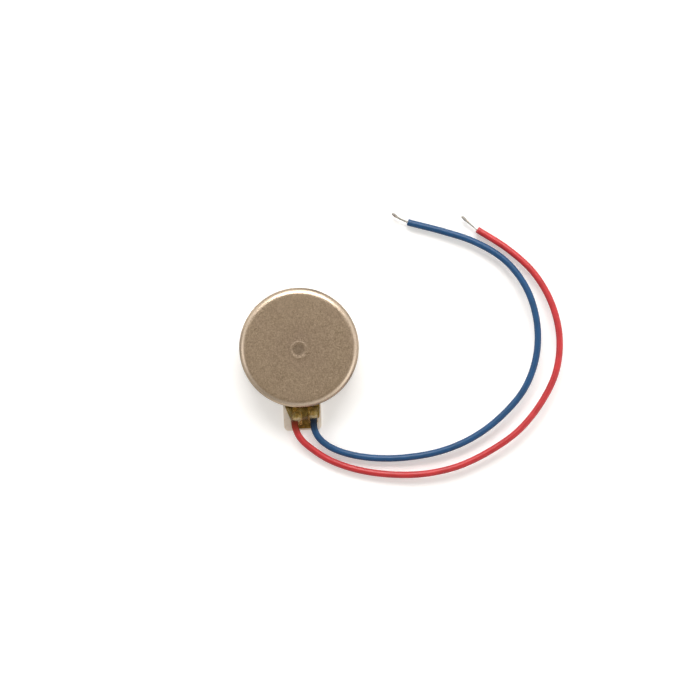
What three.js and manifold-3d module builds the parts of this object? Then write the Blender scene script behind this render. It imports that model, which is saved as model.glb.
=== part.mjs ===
// Brushed coin vibration motor, 10 mm across and 3.4 mm thick, with a lead tab and two flying leads.
// Millimetres, +Z up along the shaft. The origin is the centre of the adhesive pad's underside, and the lead tab points along -Y.
// Bench order from below: adhesive pad, bracket with shaft, flexible circuit with its copper traces, brushes,
// ring magnet, lower washer, eccentric rotor, upper washer, case cover. The leads are soldered on the tab outside the case.
import * as THREE from "three";
import { mergeVertices } from "three/addons/utils/BufferGeometryUtils.js";
import Module from "manifold-3d";

const wasm = await Module();
wasm.setup();

// ---------------------------------------------------------------- driving dimensions
const PAD_R = 4.3; // double-sided adhesive pad
const PAD_T = 0.11;

const BASE_Z = 0.12; // underside of the bracket and of the case's open rim
const BODY_H = 3.4; // case thickness over the bracket, without the adhesive pad
const TOP_Z = BASE_Z + BODY_H;

const CASE_R = 5.0; // drawn steel can
const CASE_WALL = 0.2;
const CASE_CORNER_R = 0.55;
const DIMPLE_R = 0.46; // coined dimple over the shaft end
const DIMPLE_DEPTH = 0.06;
const BOSS_R = 0.76; // the same dimple seen from inside
const NOTCH_HALF_W = 1.72; // opening in the wall for the lead tab
const NOTCH_TOP_Z = 0.96;

const BRACKET_R = 4.78;
const BRACKET_T = 0.25;
const COLLAR_R = 0.86; // burring that holds the shaft
const COLLAR_TOP_Z = 1.0;
const TAB_HALF_W = 1.6;
const TAB_END_Y = -7.0;
const TAB_CORNER_R = 0.42;

const SHAFT_R = 0.4;
const SHAFT_TOP_Z = 3.245;
const PRESS_GAP = 0.006; // modelled clearance of pressed joints

const FPC_Z = 0.38; // flexible circuit on the bracket
const FPC_T = 0.11;
const FPC_R = 4.3;
const FPC_HOLE_R = 1.0;
const TRACE_Z = 0.495;
const TRACE_T = 0.025;

const MAGNET_R = 4.3;
const MAGNET_BORE_R = 1.95;
const MAGNET_Z = 0.53;
const MAGNET_T = 0.9;

const BRUSH_IN_R = 1.12;
const BRUSH_OUT_R = 1.66;
const BRUSH_T = 0.06;
const BRUSH_FOOT_Z = 0.525;
const BRUSH_TIP_Z = 1.54; // underside of the contact point
const BRUSH_SLIT = 0.08;

const WASHER_IN_R = 0.43;
const WASHER_OUT_R = 0.84;
const LOWER_WASHER_Z = 1.01;
const LOWER_WASHER_T = 0.07;
const UPPER_WASHER_Z = 3.13;
const UPPER_WASHER_T = 0.08;

const BEARING_BORE_R = 0.42; // runs on the shaft
const BEARING_R = 0.86;
const BEARING_Z = 1.1;
const BEARING_TOP_Z = 3.1;

const SEGMENT_COUNT = 6; // commutator bars under the board
const SEGMENT_IN_R = 0.98;
const SEGMENT_OUT_R = 1.74;
const SEGMENT_GAP_DEG = 7;
const SEGMENT_Z = 1.62;
const SEGMENT_T = 0.035;

const BOARD_Z = 1.66;
const BOARD_T = 0.18;
const BOARD_HUB_R = 1.95;
const ROTOR_R = 4.4;
const FAN_HALF_DEG = 97; // half angle of the eccentric fan, about +Y

const MOULD_Z = 1.85;
const MOULD_WEB_T = 0.11;
const MOULD_TOP_Z = 2.92;
const MOULD_HUB_R = 1.22;

const COIL_OFFSET_DEG = 62; // coil centres either side of the counterweight
const COIL_Z = 1.98;
const COIL_T = 0.9;
const COIL_IN_R = 1.38;
const COIL_OUT_R = 4.2;
const COIL_HALF_DEG = 27.5;
const COIL_BUILD = 0.78; // radial build of the winding

const WEIGHT_Z = 1.98;
const WEIGHT_TOP_Z = 3.06;
const WEIGHT_IN_R = 1.26;
const WEIGHT_OUT_R = 4.4;
const WEIGHT_HALF_DEG = 29.5;

const WIRE_R = 0.28; // insulation
const WIRE_BORE_R = 0.14;
const CONDUCTOR_R = 0.115; // tinned stranded core

const RED_PAD_X = -0.4; // solder land centres on the tab
const BLUE_PAD_X = 0.9;
const RED_PAD_Y = -6.0;
const BLUE_PAD_Y = -5.85;
const PAD_W = 0.74;
const PAD_L = 1.1;
const RED_SOLDER_Y = -5.78;
const BLUE_SOLDER_Y = -5.62;
const SOLDER_Z = 0.525;

// ---------------------------------------------------------------- helpers
const deg = THREE.MathUtils.degToRad;

// A closed geometry as a manifold-3d solid, turned to face outwards.
function solid(geometry) {
  const bare = (geometry.index ? geometry.toNonIndexed() : geometry).clone();
  for (const name of Object.keys(bare.attributes))
    if (name !== "position") bare.deleteAttribute(name);
  const g = mergeVertices(bare, 1e-4);
  const p = g.attributes.position.array,
    src = g.index.array,
    tri = [];
  let volume = 0;
  for (let i = 0; i < src.length; i += 3) {
    const [a, b, c] = [src[i], src[i + 1], src[i + 2]];
    if (a === b || b === c || a === c) continue;
    tri.push(a, b, c);
    const [ax, ay, az] = p.subarray(3 * a, 3 * a + 3);
    const [bx, by, bz] = p.subarray(3 * b, 3 * b + 3);
    const [cx, cy, cz] = p.subarray(3 * c, 3 * c + 3);
    volume +=
      ax * (by * cz - bz * cy) - ay * (bx * cz - bz * cx) + az * (bx * cy - by * cx);
  }
  if (volume < 0)
    for (let i = 0; i < tri.length; i += 3)
      [tri[i + 1], tri[i + 2]] = [tri[i + 2], tri[i + 1]];
  return new wasm.Manifold(
    new wasm.Mesh({
      numProp: 3,
      vertProperties: Float32Array.from(p),
      triVerts: Uint32Array.from(tri),
    }),
  );
}

function geometryOf(s) {
  const m = s.getMesh(),
    n = m.numProp,
    v = new Float32Array(m.numVert * 3);
  for (let i = 0; i < m.numVert; i++)
    v.set(m.vertProperties.subarray(i * n, i * n + 3), i * 3);
  const g = new THREE.BufferGeometry();
  g.setAttribute("position", new THREE.BufferAttribute(v, 3));
  g.setIndex(new THREE.BufferAttribute(new Uint32Array(m.triVerts), 1));
  return g;
}

// Revolves [r, z] points about Z. The profile starts and ends on the axis, or closes on itself.
function revolve(points, segments = 48, close = false) {
  const p = points.map(([r, z]) => new THREE.Vector2(r, z));
  if (close) p.push(p[0].clone());
  const g = new THREE.LatheGeometry(p, segments);
  g.rotateX(Math.PI / 2);
  return solid(g);
}

// A flat ring or disc from z to z + t.
const ring = (rIn, rOut, z, t, segments = 48) =>
  revolve(
    [
      [rIn, z],
      [rOut, z],
      [rOut, z + t],
      [rIn, z + t],
    ],
    segments,
    true,
  );

const disc = (r, z, t, segments = 48) =>
  revolve(
    [
      [0, z],
      [r, z],
      [r, z + t],
      [0, z + t],
    ],
    segments,
  );

function extrude(shape, z, t, bevel = 0, curveSegments = 8) {
  const g = new THREE.ExtrudeGeometry(shape, {
    depth: t - 2 * bevel,
    bevelEnabled: bevel > 0,
    bevelSize: bevel,
    bevelThickness: bevel,
    bevelOffset: -bevel,
    bevelSegments: 2,
    curveSegments,
    steps: 1,
  });
  g.translate(0, 0, z + bevel);
  return solid(g);
}

function box(x0, x1, y0, y1, z0, z1) {
  const g = new THREE.BoxGeometry(x1 - x0, y1 - y0, z1 - z0);
  g.translate((x0 + x1) / 2, (y0 + y1) / 2, (z0 + z1) / 2);
  return solid(g);
}

// A closed outline through [x, y] points, each corner rounded with its own or the shared radius.
function rounded(points, radius) {
  const shape = new THREE.Shape();
  const n = points.length;
  points.forEach(([x, y, own], i) => {
    const r = own ?? radius;
    const here = new THREE.Vector2(x, y);
    const before = new THREE.Vector2(...points[(i + n - 1) % n].slice(0, 2));
    const after = new THREE.Vector2(...points[(i + 1) % n].slice(0, 2));
    const a = before.sub(here).normalize().multiplyScalar(r).add(here);
    const b = after.sub(here).normalize().multiplyScalar(r).add(here);
    if (i === 0) shape.moveTo(a.x, a.y);
    else shape.lineTo(a.x, a.y);
    if (r > 0) shape.quadraticCurveTo(x, y, b.x, b.y);
  });
  shape.closePath();
  return shape;
}

// An annular sector outline, centred on the direction mid, in degrees.
function sector(rIn, rOut, mid, half, steps = 12) {
  const points = [];
  for (let i = 0; i <= steps; i++) {
    const a = deg(mid - half + (2 * half * i) / steps);
    points.push([rOut * Math.cos(a), rOut * Math.sin(a)]);
  }
  for (let i = steps; i >= 0; i--) {
    const a = deg(mid - half + (2 * half * i) / steps);
    points.push([rIn * Math.cos(a), rIn * Math.sin(a)]);
  }
  return new THREE.Shape(points.map(([x, y]) => new THREE.Vector2(x, y)));
}

// The rounded outline of a coil winding, shrunk inwards by inset.
function coilOutline(mid, inset) {
  const rIn = COIL_IN_R + inset,
    rOut = COIL_OUT_R - inset,
    corner = Math.max(0.16, 0.55 - 0.55 * inset);
  const points = [];
  const at = (r, side) => {
    // each side is a straight line parallel to the sector's edge, moved in by inset
    const half = deg(COIL_HALF_DEG),
      along = Math.sqrt(r * r - inset * inset);
    const dx = along * Math.cos(half) + inset * Math.sin(half),
      dy = along * Math.sin(half) - inset * Math.cos(half);
    return [dx, side * dy];
  };
  const add = ([x, y], r) => {
    const m = deg(mid);
    points.push([
      x * Math.cos(m) - y * Math.sin(m),
      x * Math.sin(m) + y * Math.cos(m),
      r,
    ]);
  };
  add(at(rOut, -1), corner);
  add([rOut * 0.995, -rOut * 0.16], 0.1);
  add([rOut * 0.995, rOut * 0.16], 0.1);
  add(at(rOut, 1), corner);
  add(at(rIn, 1), Math.min(corner, 0.16));
  add(at(rIn, -1), Math.min(corner, 0.16));
  return points;
}

// A leaf that follows an arc about Z, from angle a0 to a1 in degrees, with its underside height given by height(t).
function arcLeaf(rIn, rOut, a0, a1, thick, height, steps) {
  const positions = [],
    index = [];
  for (let i = 0; i <= steps; i++) {
    const t = i / steps,
      a = deg(a0 + (a1 - a0) * t),
      z = height(t);
    for (const [r, dz] of [
      [rIn, 0],
      [rOut, 0],
      [rOut, thick],
      [rIn, thick],
    ])
      positions.push(r * Math.cos(a), r * Math.sin(a), z + dz);
  }
  for (let i = 0; i < steps; i++)
    for (let k = 0; k < 4; k++) {
      const a = 4 * i + k,
        b = 4 * i + ((k + 1) % 4),
        c = a + 4,
        d = b + 4;
      index.push(a, b, d, a, d, c);
    }
  const e = 4 * steps;
  index.push(0, 2, 1, 0, 3, 2, e, e + 1, e + 2, e, e + 2, e + 3);
  const g = new THREE.BufferGeometry();
  g.setAttribute("position", new THREE.Float32BufferAttribute(positions, 3));
  g.setIndex(index);
  return solid(g);
}

const polygon = (r, n) =>
  Array.from({ length: n }, (_, i) => {
    const a = (2 * Math.PI * (i + 0.5)) / n;
    return new THREE.Vector2(r * Math.cos(a), r * Math.sin(a));
  });

// A rod, or a tube if bore is set, along the stretch of a curve between two of its parameters.
function sweep(curve, from, to, r, sides, steps, bore = 0, boreSides = 8) {
  const path = new THREE.CatmullRomCurve3(
    Array.from({ length: steps * 2 + 1 }, (_, i) =>
      curve.getPoint(from + ((to - from) * i) / (steps * 2)),
    ),
    false,
    "centripetal",
  );
  const shape = new THREE.Shape(polygon(r, sides));
  if (bore) shape.holes.push(new THREE.Path(polygon(bore, boreSides).reverse()));
  return solid(
    new THREE.ExtrudeGeometry(shape, { steps, extrudePath: path, bevelEnabled: false }),
  );
}

const material = (name, color, roughness, metalness) =>
  Object.assign(new THREE.MeshStandardMaterial({ color, roughness, metalness }), { name });

const caseSteel = material("case_steel", 0xb3a58f, 0.38, 1);
const bracketSteel = material("bracket_steel", 0xc9bfae, 0.35, 1);
const shaftSteel = material("shaft_steel", 0xc4c6c8, 0.18, 1);
const magnetNickel = material("magnet_nickel", 0xa9a8a4, 0.28, 1);
const polyimide = material("polyimide_film", 0x9a6a1e, 0.35, 0);
const copperTrace = material("gold_plated_copper", 0xd8a848, 0.3, 1);
const brushMetal = material("brush_alloy", 0xd9b766, 0.28, 1);
const washerFilm = material("washer_film", 0x1c1c20, 0.5, 0);
const bronze = material("sintered_bronze", 0x9c7a48, 0.6, 1);
const board = material("board_laminate", 0x1f5a38, 0.45, 0);
const copperWire = material("enamelled_copper", 0xb5602c, 0.32, 1);
const tungsten = material("tungsten_alloy", 0x6a6a6e, 0.48, 1);
const resin = material("moulding_resin", 0x24211f, 0.55, 0);
const redPlastic = material("red_insulation", 0xc8232c, 0.38, 0);
const bluePlastic = material("blue_insulation", 0x17508f, 0.38, 0);
const tinnedCopper = material("tinned_copper", 0xbfbcb4, 0.3, 1);
const solderMetal = material("solder", 0xd2cbbd, 0.22, 1);
const amberGlue = material("joint_adhesive", 0x7d5514, 0.15, 0);
const padFoam = material("adhesive_pad", 0xe8e4d8, 0.8, 0);

function part(name, geometry, finish, place) {
  const mesh = new THREE.Mesh(geometry, finish);
  mesh.name = name;
  if (place?.position) mesh.position.set(...place.position);
  if (place?.rotationZ) mesh.rotation.z = place.rotationZ;
  return mesh;
}

// ---------------------------------------------------------------- stationary parts
const stator = new THREE.Group();

// Case cover: a drawn can with a rounded rim, a coined centre dimple, and a notch for the lead tab. Built from its open rim up.
function caseCover() {
  const h = BODY_H,
    w = CASE_WALL,
    R = CASE_R,
    c = CASE_CORNER_R,
    profile = [[0, h - DIMPLE_DEPTH]];
  profile.push([DIMPLE_R, h - DIMPLE_DEPTH]);
  profile.push([DIMPLE_R + 0.13, h - 0.012], [DIMPLE_R + 0.22, h]);
  for (let i = 0; i <= 5; i++) {
    const a = deg(90 - 18 * i);
    profile.push([R - c + c * Math.cos(a), h - c + c * Math.sin(a)]);
  }
  profile.push([R, 0.06], [R - 0.05, 0], [R - w, 0]);
  for (let i = 0; i <= 3; i++) {
    const a = deg(30 * i),
      k = c - w;
    profile.push([R - c + k * Math.cos(a), h - c + k * Math.sin(a)]);
  }
  profile.push([BOSS_R, h - w], [BOSS_R - 0.1, h - w - DIMPLE_DEPTH]);
  profile.push([0, h - w - DIMPLE_DEPTH]);
  return revolve(profile, 60).subtract(
    box(-NOTCH_HALF_W, NOTCH_HALF_W, -5.4, -4.2, -0.3, NOTCH_TOP_Z - BASE_Z),
  );
}
stator.add(
  part("case_cover", geometryOf(caseCover()), caseSteel, { position: [0, 0, BASE_Z] }),
);

// Bracket: the base plate, its shaft burring, and the tab that carries the flexible circuit out of the case.
function bracketSolid() {
  const body = revolve(
    [
      [SHAFT_R + PRESS_GAP, 0],
      [BRACKET_R, 0],
      [BRACKET_R, BRACKET_T],
      [COLLAR_R + 0.12, BRACKET_T],
      [COLLAR_R, BRACKET_T + 0.12],
      [COLLAR_R, COLLAR_TOP_Z - BASE_Z],
      [SHAFT_R + PRESS_GAP, COLLAR_TOP_Z - BASE_Z],
    ],
    48,
    true,
  );
  const tab = extrude(
    rounded(
      [
        [-TAB_HALF_W, -4.1, 0],
        [-TAB_HALF_W, TAB_END_Y, TAB_CORNER_R],
        [TAB_HALF_W, TAB_END_Y, TAB_CORNER_R],
        [TAB_HALF_W, -4.1, 0],
      ],
      0,
    ),
    0,
    BRACKET_T,
    0,
    5,
  );
  return body.add(tab);
}
stator.add(
  part("bracket", geometryOf(bracketSolid()), bracketSteel, { position: [0, 0, BASE_Z] }),
);

// Shaft: a fixed steel pin with chamfered ends, pressed into the burring.
stator.add(
  part(
    "shaft",
    geometryOf(
      revolve(
        [
          [0, 0],
          [SHAFT_R - 0.05, 0],
          [SHAFT_R, 0.05],
          [SHAFT_R, SHAFT_TOP_Z - 0.19],
          [SHAFT_R - 0.05, SHAFT_TOP_Z - 0.14],
          [0, SHAFT_TOP_Z - 0.14],
        ],
        32,
      ),
    ),
    shaftSteel,
    { position: [0, 0, 0.14] },
  ),
);

// Ring magnet, axially magnetised in four poles, bonded over the flexible circuit.
stator.add(
  part(
    "ring_magnet",
    geometryOf(
      revolve(
        [
          [MAGNET_BORE_R + 0.05, 0],
          [MAGNET_R - 0.07, 0],
          [MAGNET_R, 0.07],
          [MAGNET_R, MAGNET_T - 0.07],
          [MAGNET_R - 0.07, MAGNET_T],
          [MAGNET_BORE_R + 0.05, MAGNET_T],
          [MAGNET_BORE_R, MAGNET_T - 0.05],
          [MAGNET_BORE_R, 0.05],
        ],
        48,
        true,
      ),
    ),
    magnetNickel,
    { position: [0, 0, MAGNET_Z] },
  ),
);

// Flexible circuit: a polyimide disc with a tapered tongue that leaves through the notch.
function flexSolid() {
  const hole = new THREE.Path();
  hole.absarc(0, 0, FPC_HOLE_R, 0, 2 * Math.PI, true);
  const full = new THREE.Shape();
  full.absarc(0, 0, FPC_R, 0, 2 * Math.PI, false);
  full.holes.push(hole);
  const tongue = rounded(
    [
      [-1.46, -3.6, 0],
      [-1.42, -4.98, 0],
      [-1.0, -6.1, 0.2],
      [-0.92, -6.84, 0.2],
      [1.16, -6.84, 0.2],
      [1.22, -6.16, 0.16],
      [1.44, -5.9, 0.16],
      [1.5, -4.98, 0],
      [1.5, -3.6, 0],
    ],
    0,
  );
  return extrude(full, 0, FPC_T, 0, 24).add(extrude(tongue, 0, FPC_T, 0, 3));
}
stator.add(
  part("flex_circuit", geometryOf(flexSolid()), polyimide, { position: [0, 0, FPC_Z] }),
);

// Copper traces: a solder land on the tab, a run under the magnet, and a brush land inside the magnet's bore.
function trace(side, landX, landY) {
  const run = 0.16,
    x = side * 0.62,
    outer = BRUSH_OUT_R + 0.06;
  const inner = x - side * run, // the run's edge nearest the centre line
    far = x + side * run;
  const arc = (r, from, to, steps) =>
    Array.from({ length: steps + 1 }, (_, i) => {
      const a = deg(from + ((to - from) * i) / steps);
      return [r * Math.cos(a), r * Math.sin(a)];
    });
  const at = (px) => 270 + THREE.MathUtils.radToDeg(Math.asin(px / outer)); // where a run edge meets the brush land
  const near = 270 + side * 11,
    away = 270 + side * 41;
  const points = [
    [landX - side * (PAD_W / 2), landY - PAD_L / 2, 0.08],
    [landX - side * (PAD_W / 2), landY + PAD_L / 2, 0.08],
    [inner, landY + PAD_L / 2 + 0.2, 0.05],
    ...arc(outer, at(inner), near, 1).map((p) => [...p, 0]),
    ...arc(BRUSH_IN_R, near, away, 5).map((p) => [...p, 0]),
    ...arc(outer, away, at(far), 2).map((p) => [...p, 0]),
    [far, landY + PAD_L / 2 + 0.2, 0.05],
    [landX + side * (PAD_W / 2), landY + PAD_L / 2, 0.08],
    [landX + side * (PAD_W / 2), landY - PAD_L / 2, 0.08],
  ];
  return extrude(rounded(points, 0), 0, TRACE_T, 0, 3);
}
stator.add(
  part("positive_trace", geometryOf(trace(-1, RED_PAD_X, RED_PAD_Y)), copperTrace, {
    position: [0, 0, TRACE_Z],
  }),
);
stator.add(
  part("negative_trace", geometryOf(trace(1, BLUE_PAD_X, BLUE_PAD_Y)), copperTrace, {
    position: [0, 0, TRACE_Z],
  }),
);

// Brushes: slit spring leaves that rise around the burring and touch the commutator 90 degrees apart.
const ease = (t) => t * t * (3 - 2 * t);
function brush(side) {
  const from = 270 + side * 14,
    to = side > 0 ? 405 : 135;
  const rise = BRUSH_TIP_Z - BRUSH_FOOT_Z;
  const height = (t) => {
    if (t < 0.2) return 0;
    if (t > 0.9) return rise * ease(0.96) - (t - 0.9) * 1.6; // the tip curls down past the contact point
    return rise * ease((0.96 * (t - 0.2)) / 0.7);
  };
  const leaf = arcLeaf(BRUSH_IN_R, BRUSH_OUT_R, from, to, BRUSH_T, height, 24);
  const mid = (BRUSH_IN_R + BRUSH_OUT_R) / 2;
  const slit = extrude(
    sector(
      mid - BRUSH_SLIT / 2,
      mid + BRUSH_SLIT / 2,
      (from + to) / 2 + side * 30,
      42,
      14,
    ),
    -0.3,
    2,
  );
  return leaf.subtract(slit);
}
stator.add(
  part("positive_brush", geometryOf(brush(-1)), brushMetal, {
    position: [0, 0, BRUSH_FOOT_Z],
  }),
);
stator.add(
  part("negative_brush", geometryOf(brush(1)), brushMetal, {
    position: [0, 0, BRUSH_FOOT_Z],
  }),
);

// Thrust washers below and above the rotor bearing.
stator.add(
  part(
    "lower_washer",
    geometryOf(ring(WASHER_IN_R, WASHER_OUT_R, 0, LOWER_WASHER_T, 32)),
    washerFilm,
    { position: [0, 0, LOWER_WASHER_Z] },
  ),
);
stator.add(
  part(
    "upper_washer",
    geometryOf(ring(WASHER_IN_R, WASHER_OUT_R, 0, UPPER_WASHER_T, 32)),
    washerFilm,
    { position: [0, 0, UPPER_WASHER_Z] },
  ),
);

// Adhesive pad: the mounting face.
stator.add(part("adhesive_pad", geometryOf(disc(PAD_R, 0, PAD_T, 48)), padFoam));

// ---------------------------------------------------------------- rotor, turning about Z
const rotor = new THREE.Group();

rotor.add(
  part(
    "rotor_bearing",
    geometryOf(
      revolve(
        [
          [BEARING_BORE_R + 0.04, 0],
          [BEARING_R - 0.05, 0],
          [BEARING_R, 0.05],
          [BEARING_R, BEARING_TOP_Z - BEARING_Z - 0.05],
          [BEARING_R - 0.05, BEARING_TOP_Z - BEARING_Z],
          [BEARING_BORE_R + 0.04, BEARING_TOP_Z - BEARING_Z],
          [BEARING_BORE_R, BEARING_TOP_Z - BEARING_Z - 0.04],
          [BEARING_BORE_R, 0.04],
        ],
        32,
        true,
      ),
    ),
    bronze,
    { position: [0, 0, BEARING_Z] },
  ),
);

// Commutator board: a hub disc with a fan under the coils and counterweight.
const fan = (rOut, z, t) => extrude(sector(0.5, rOut, 90, FAN_HALF_DEG, 32), z, t);
rotor.add(
  part(
    "commutator_board",
    geometryOf(
      fan(ROTOR_R - 0.05, 0, BOARD_T)
        .add(disc(BOARD_HUB_R, 0, BOARD_T, 40))
        .subtract(disc(BEARING_R + 0.01, -1, 3, 32)),
    ),
    board,
    { position: [0, 0, BOARD_Z] },
  ),
);

// Commutator bars: six gold-plated sectors on the underside of the board.
for (let i = 0; i < SEGMENT_COUNT; i++)
  rotor.add(
    part(
      "commutator_segment_" + (i + 1),
      geometryOf(
        extrude(
          sector(SEGMENT_IN_R, SEGMENT_OUT_R, 0, (360 / SEGMENT_COUNT - SEGMENT_GAP_DEG) / 2, 6),
          0,
          SEGMENT_T,
        ),
      ),
      copperTrace,
      { position: [0, 0, SEGMENT_Z], rotationZ: deg((360 / SEGMENT_COUNT) * i) },
    ),
  );

// Coils: two flat windings of enamelled wire, either side of the counterweight.
function coil(mid) {
  const outline = rounded(coilOutline(mid, 0), 0.2);
  const window = rounded(coilOutline(mid, COIL_BUILD), 0.12);
  const t = COIL_T;
  return extrude(outline, 0, t, 0.1, 4).subtract(extrude(window, -1, t + 2, 0, 3));
}
rotor.add(
  part("coil_left", geometryOf(coil(90 + COIL_OFFSET_DEG)), copperWire, {
    position: [0, 0, COIL_Z],
  }),
);
rotor.add(
  part("coil_right", geometryOf(coil(90 - COIL_OFFSET_DEG)), copperWire, {
    position: [0, 0, COIL_Z],
  }),
);

// Counterweight: a sintered tungsten block with a locking groove in each flank.
function weightSolid() {
  const groove = (side) => {
    const a = deg(90 + side * WEIGHT_HALF_DEG);
    const g = new THREE.CylinderGeometry(0.16, 0.16, 3, 12);
    g.rotateX(Math.PI / 2);
    g.translate(2.9 * Math.cos(a), 2.9 * Math.sin(a), 0.5);
    return solid(g);
  };
  return extrude(
    sector(WEIGHT_IN_R, WEIGHT_OUT_R, 90, WEIGHT_HALF_DEG, 12),
    0,
    WEIGHT_TOP_Z - WEIGHT_Z,
  )
    .subtract(groove(-1))
    .subtract(groove(1));
}
rotor.add(
  part("counterweight", geometryOf(weightSolid()), tungsten, { position: [0, 0, WEIGHT_Z] }),
);

// Overmould: the resin fan that binds bearing, board, coils and counterweight, with pockets for the last two.
function overmouldSolid() {
  const t = MOULD_TOP_Z - MOULD_Z,
    web = MOULD_WEB_T,
    gap = 0.02;
  let s = fan(ROTOR_R, 0, t).add(disc(MOULD_HUB_R, 0, t, 40));
  s = s.subtract(disc(BEARING_R + 0.01, -1, t + 2, 32));
  for (const side of [-1, 1]) {
    const mid = 90 + side * COIL_OFFSET_DEG;
    const pocket = extrude(rounded(coilOutline(mid, -gap), 0.2), web, t, 0, 4).subtract(
      extrude(rounded(coilOutline(mid, COIL_BUILD + gap), 0.12), -1, t + 3, 0, 3),
    );
    s = s.subtract(pocket);
  }
  return s.subtract(
    extrude(
      sector(WEIGHT_IN_R - gap, WEIGHT_OUT_R + 0.4, 90, WEIGHT_HALF_DEG + 0.5, 12),
      web,
      t,
    ),
  );
}
rotor.add(
  part("rotor_overmould", geometryOf(overmouldSolid()), resin, { position: [0, 0, MOULD_Z] }),
);

// ---------------------------------------------------------------- leads
// Centre lines from the cut end on the solder land to the stripped tip, in millimetres.
const RED_LEAD = {
  joint: [
    [-0.42, -5.62, 0.72],
    [-0.5, -5.86, 0.74],
  ],
  run: [
    [-0.67, -6.14, 0.81],
    [-0.58, -6.89, 0.86],
    [-0.18, -7.72, 0.8],
    [0.73, -8.61, 0.62],
    [2.13, -9.58, 0.48],
    [4.3, -10.46, 0.46],
    [7.01, -10.99, 0.54],
    [9.99, -11.08, 0.66],
    [12.91, -10.56, 0.8],
    [15.65, -9.39, 0.92],
    [18.14, -7.76, 1.02],
    [20.12, -5.54, 1.06],
    [21.52, -2.92, 1.06],
    [21.94, 0.01, 1.0],
    [21.38, 2.93, 0.88],
    [19.98, 5.55, 0.74],
    [17.87, 7.64, 0.58],
    [15.43, 9.35, 0.44],
  ],
  tip: [
    [15.09, 9.63, 0.42],
    [14.77, 9.92, 0.42],
    [14.44, 10.22, 0.45],
    [14.14, 10.55, 0.52],
  ],
};
const BLUE_LEAD = {
  joint: [
    [0.92, -5.44, 0.72],
    [0.94, -5.7, 0.74],
  ],
  run: [
    [0.96, -6.0, 0.81],
    [0.97, -6.86, 0.86],
    [1.36, -7.72, 0.8],
    [2.32, -8.53, 0.62],
    [3.87, -9.18, 0.48],
    [6.14, -9.6, 0.46],
    [8.87, -9.62, 0.56],
    [11.78, -9.16, 0.7],
    [14.51, -8.07, 0.86],
    [16.9, -6.36, 0.98],
    [18.85, -4.17, 1.06],
    [19.93, -1.45, 1.1],
    [20.07, 1.49, 1.06],
    [19.29, 4.31, 0.96],
    [17.59, 6.69, 0.8],
    [15.14, 8.32, 0.62],
    [12.4, 9.36, 0.48],
    [9.58, 10.22, 0.4],
  ],
  tip: [
    [9.28, 10.36, 0.4],
    [8.93, 10.53, 0.42],
    [8.61, 10.74, 0.47],
    [8.26, 11.02, 0.56],
  ],
};
function leadCurve(lead) {
  const all = [...lead.joint, ...lead.run, ...lead.tip];
  return {
    curve: new THREE.CatmullRomCurve3(
      all.map((p) => new THREE.Vector3(...p)),
      false,
      "centripetal",
    ),
    start: lead.joint.length / (all.length - 1),
    end: (lead.joint.length + lead.run.length - 1) / (all.length - 1),
  };
}
const red = leadCurve(RED_LEAD),
  blue = leadCurve(BLUE_LEAD);
const leads = new THREE.Group();
const conductor = (lead, r = CONDUCTOR_R) => sweep(lead.curve, 0, 1, r, 8, 58);
const insulation = (lead) =>
  sweep(lead.curve, lead.start, lead.end, WIRE_R, 12, 46, WIRE_BORE_R, 8);
leads.add(part("red_lead_insulation", geometryOf(insulation(red)), redPlastic));
leads.add(part("blue_lead_insulation", geometryOf(insulation(blue)), bluePlastic));
leads.add(part("red_lead_conductor", geometryOf(conductor(red)), tinnedCopper));
leads.add(part("blue_lead_conductor", geometryOf(conductor(blue)), tinnedCopper));

// Solder joints: a dome on each land, formed round the end of the conductor.
function solderSolid(x, y, lead) {
  const g = new THREE.SphereGeometry(1, 16, 10);
  g.scale(0.31, 0.36, 0.4);
  g.translate(x, y, SOLDER_Z + 0.02);
  return solid(g)
    .subtract(box(x - 1, x + 1, -7, -4.5, -1, SOLDER_Z))
    .subtract(sweep(lead.curve, 0, lead.start * 1.4, CONDUCTOR_R + 0.012, 8, 10));
}
const joint = (name, x, y, lead) => {
  // a short extension past the conductor's cut end keeps the solder clear of its flat face
  const first = lead.curve.getPoint(0),
    along = lead.curve.getTangent(0);
  const g = new THREE.SphereGeometry(CONDUCTOR_R + 0.02, 10, 6);
  g.translate(first.x - along.x * 0.005, first.y - along.y * 0.005, first.z);
  return part(name, geometryOf(solderSolid(x, y, lead).subtract(solid(g))), solderMetal);
};
const RED_JOINT = [RED_PAD_X - 0.02, RED_SOLDER_Y],
  BLUE_JOINT = [BLUE_PAD_X + 0.02, BLUE_SOLDER_Y];
const redJoint = joint("red_solder_joint", ...RED_JOINT, red);
const blueJoint = joint("blue_solder_joint", ...BLUE_JOINT, blue);
leads.add(redJoint, blueJoint);

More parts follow.
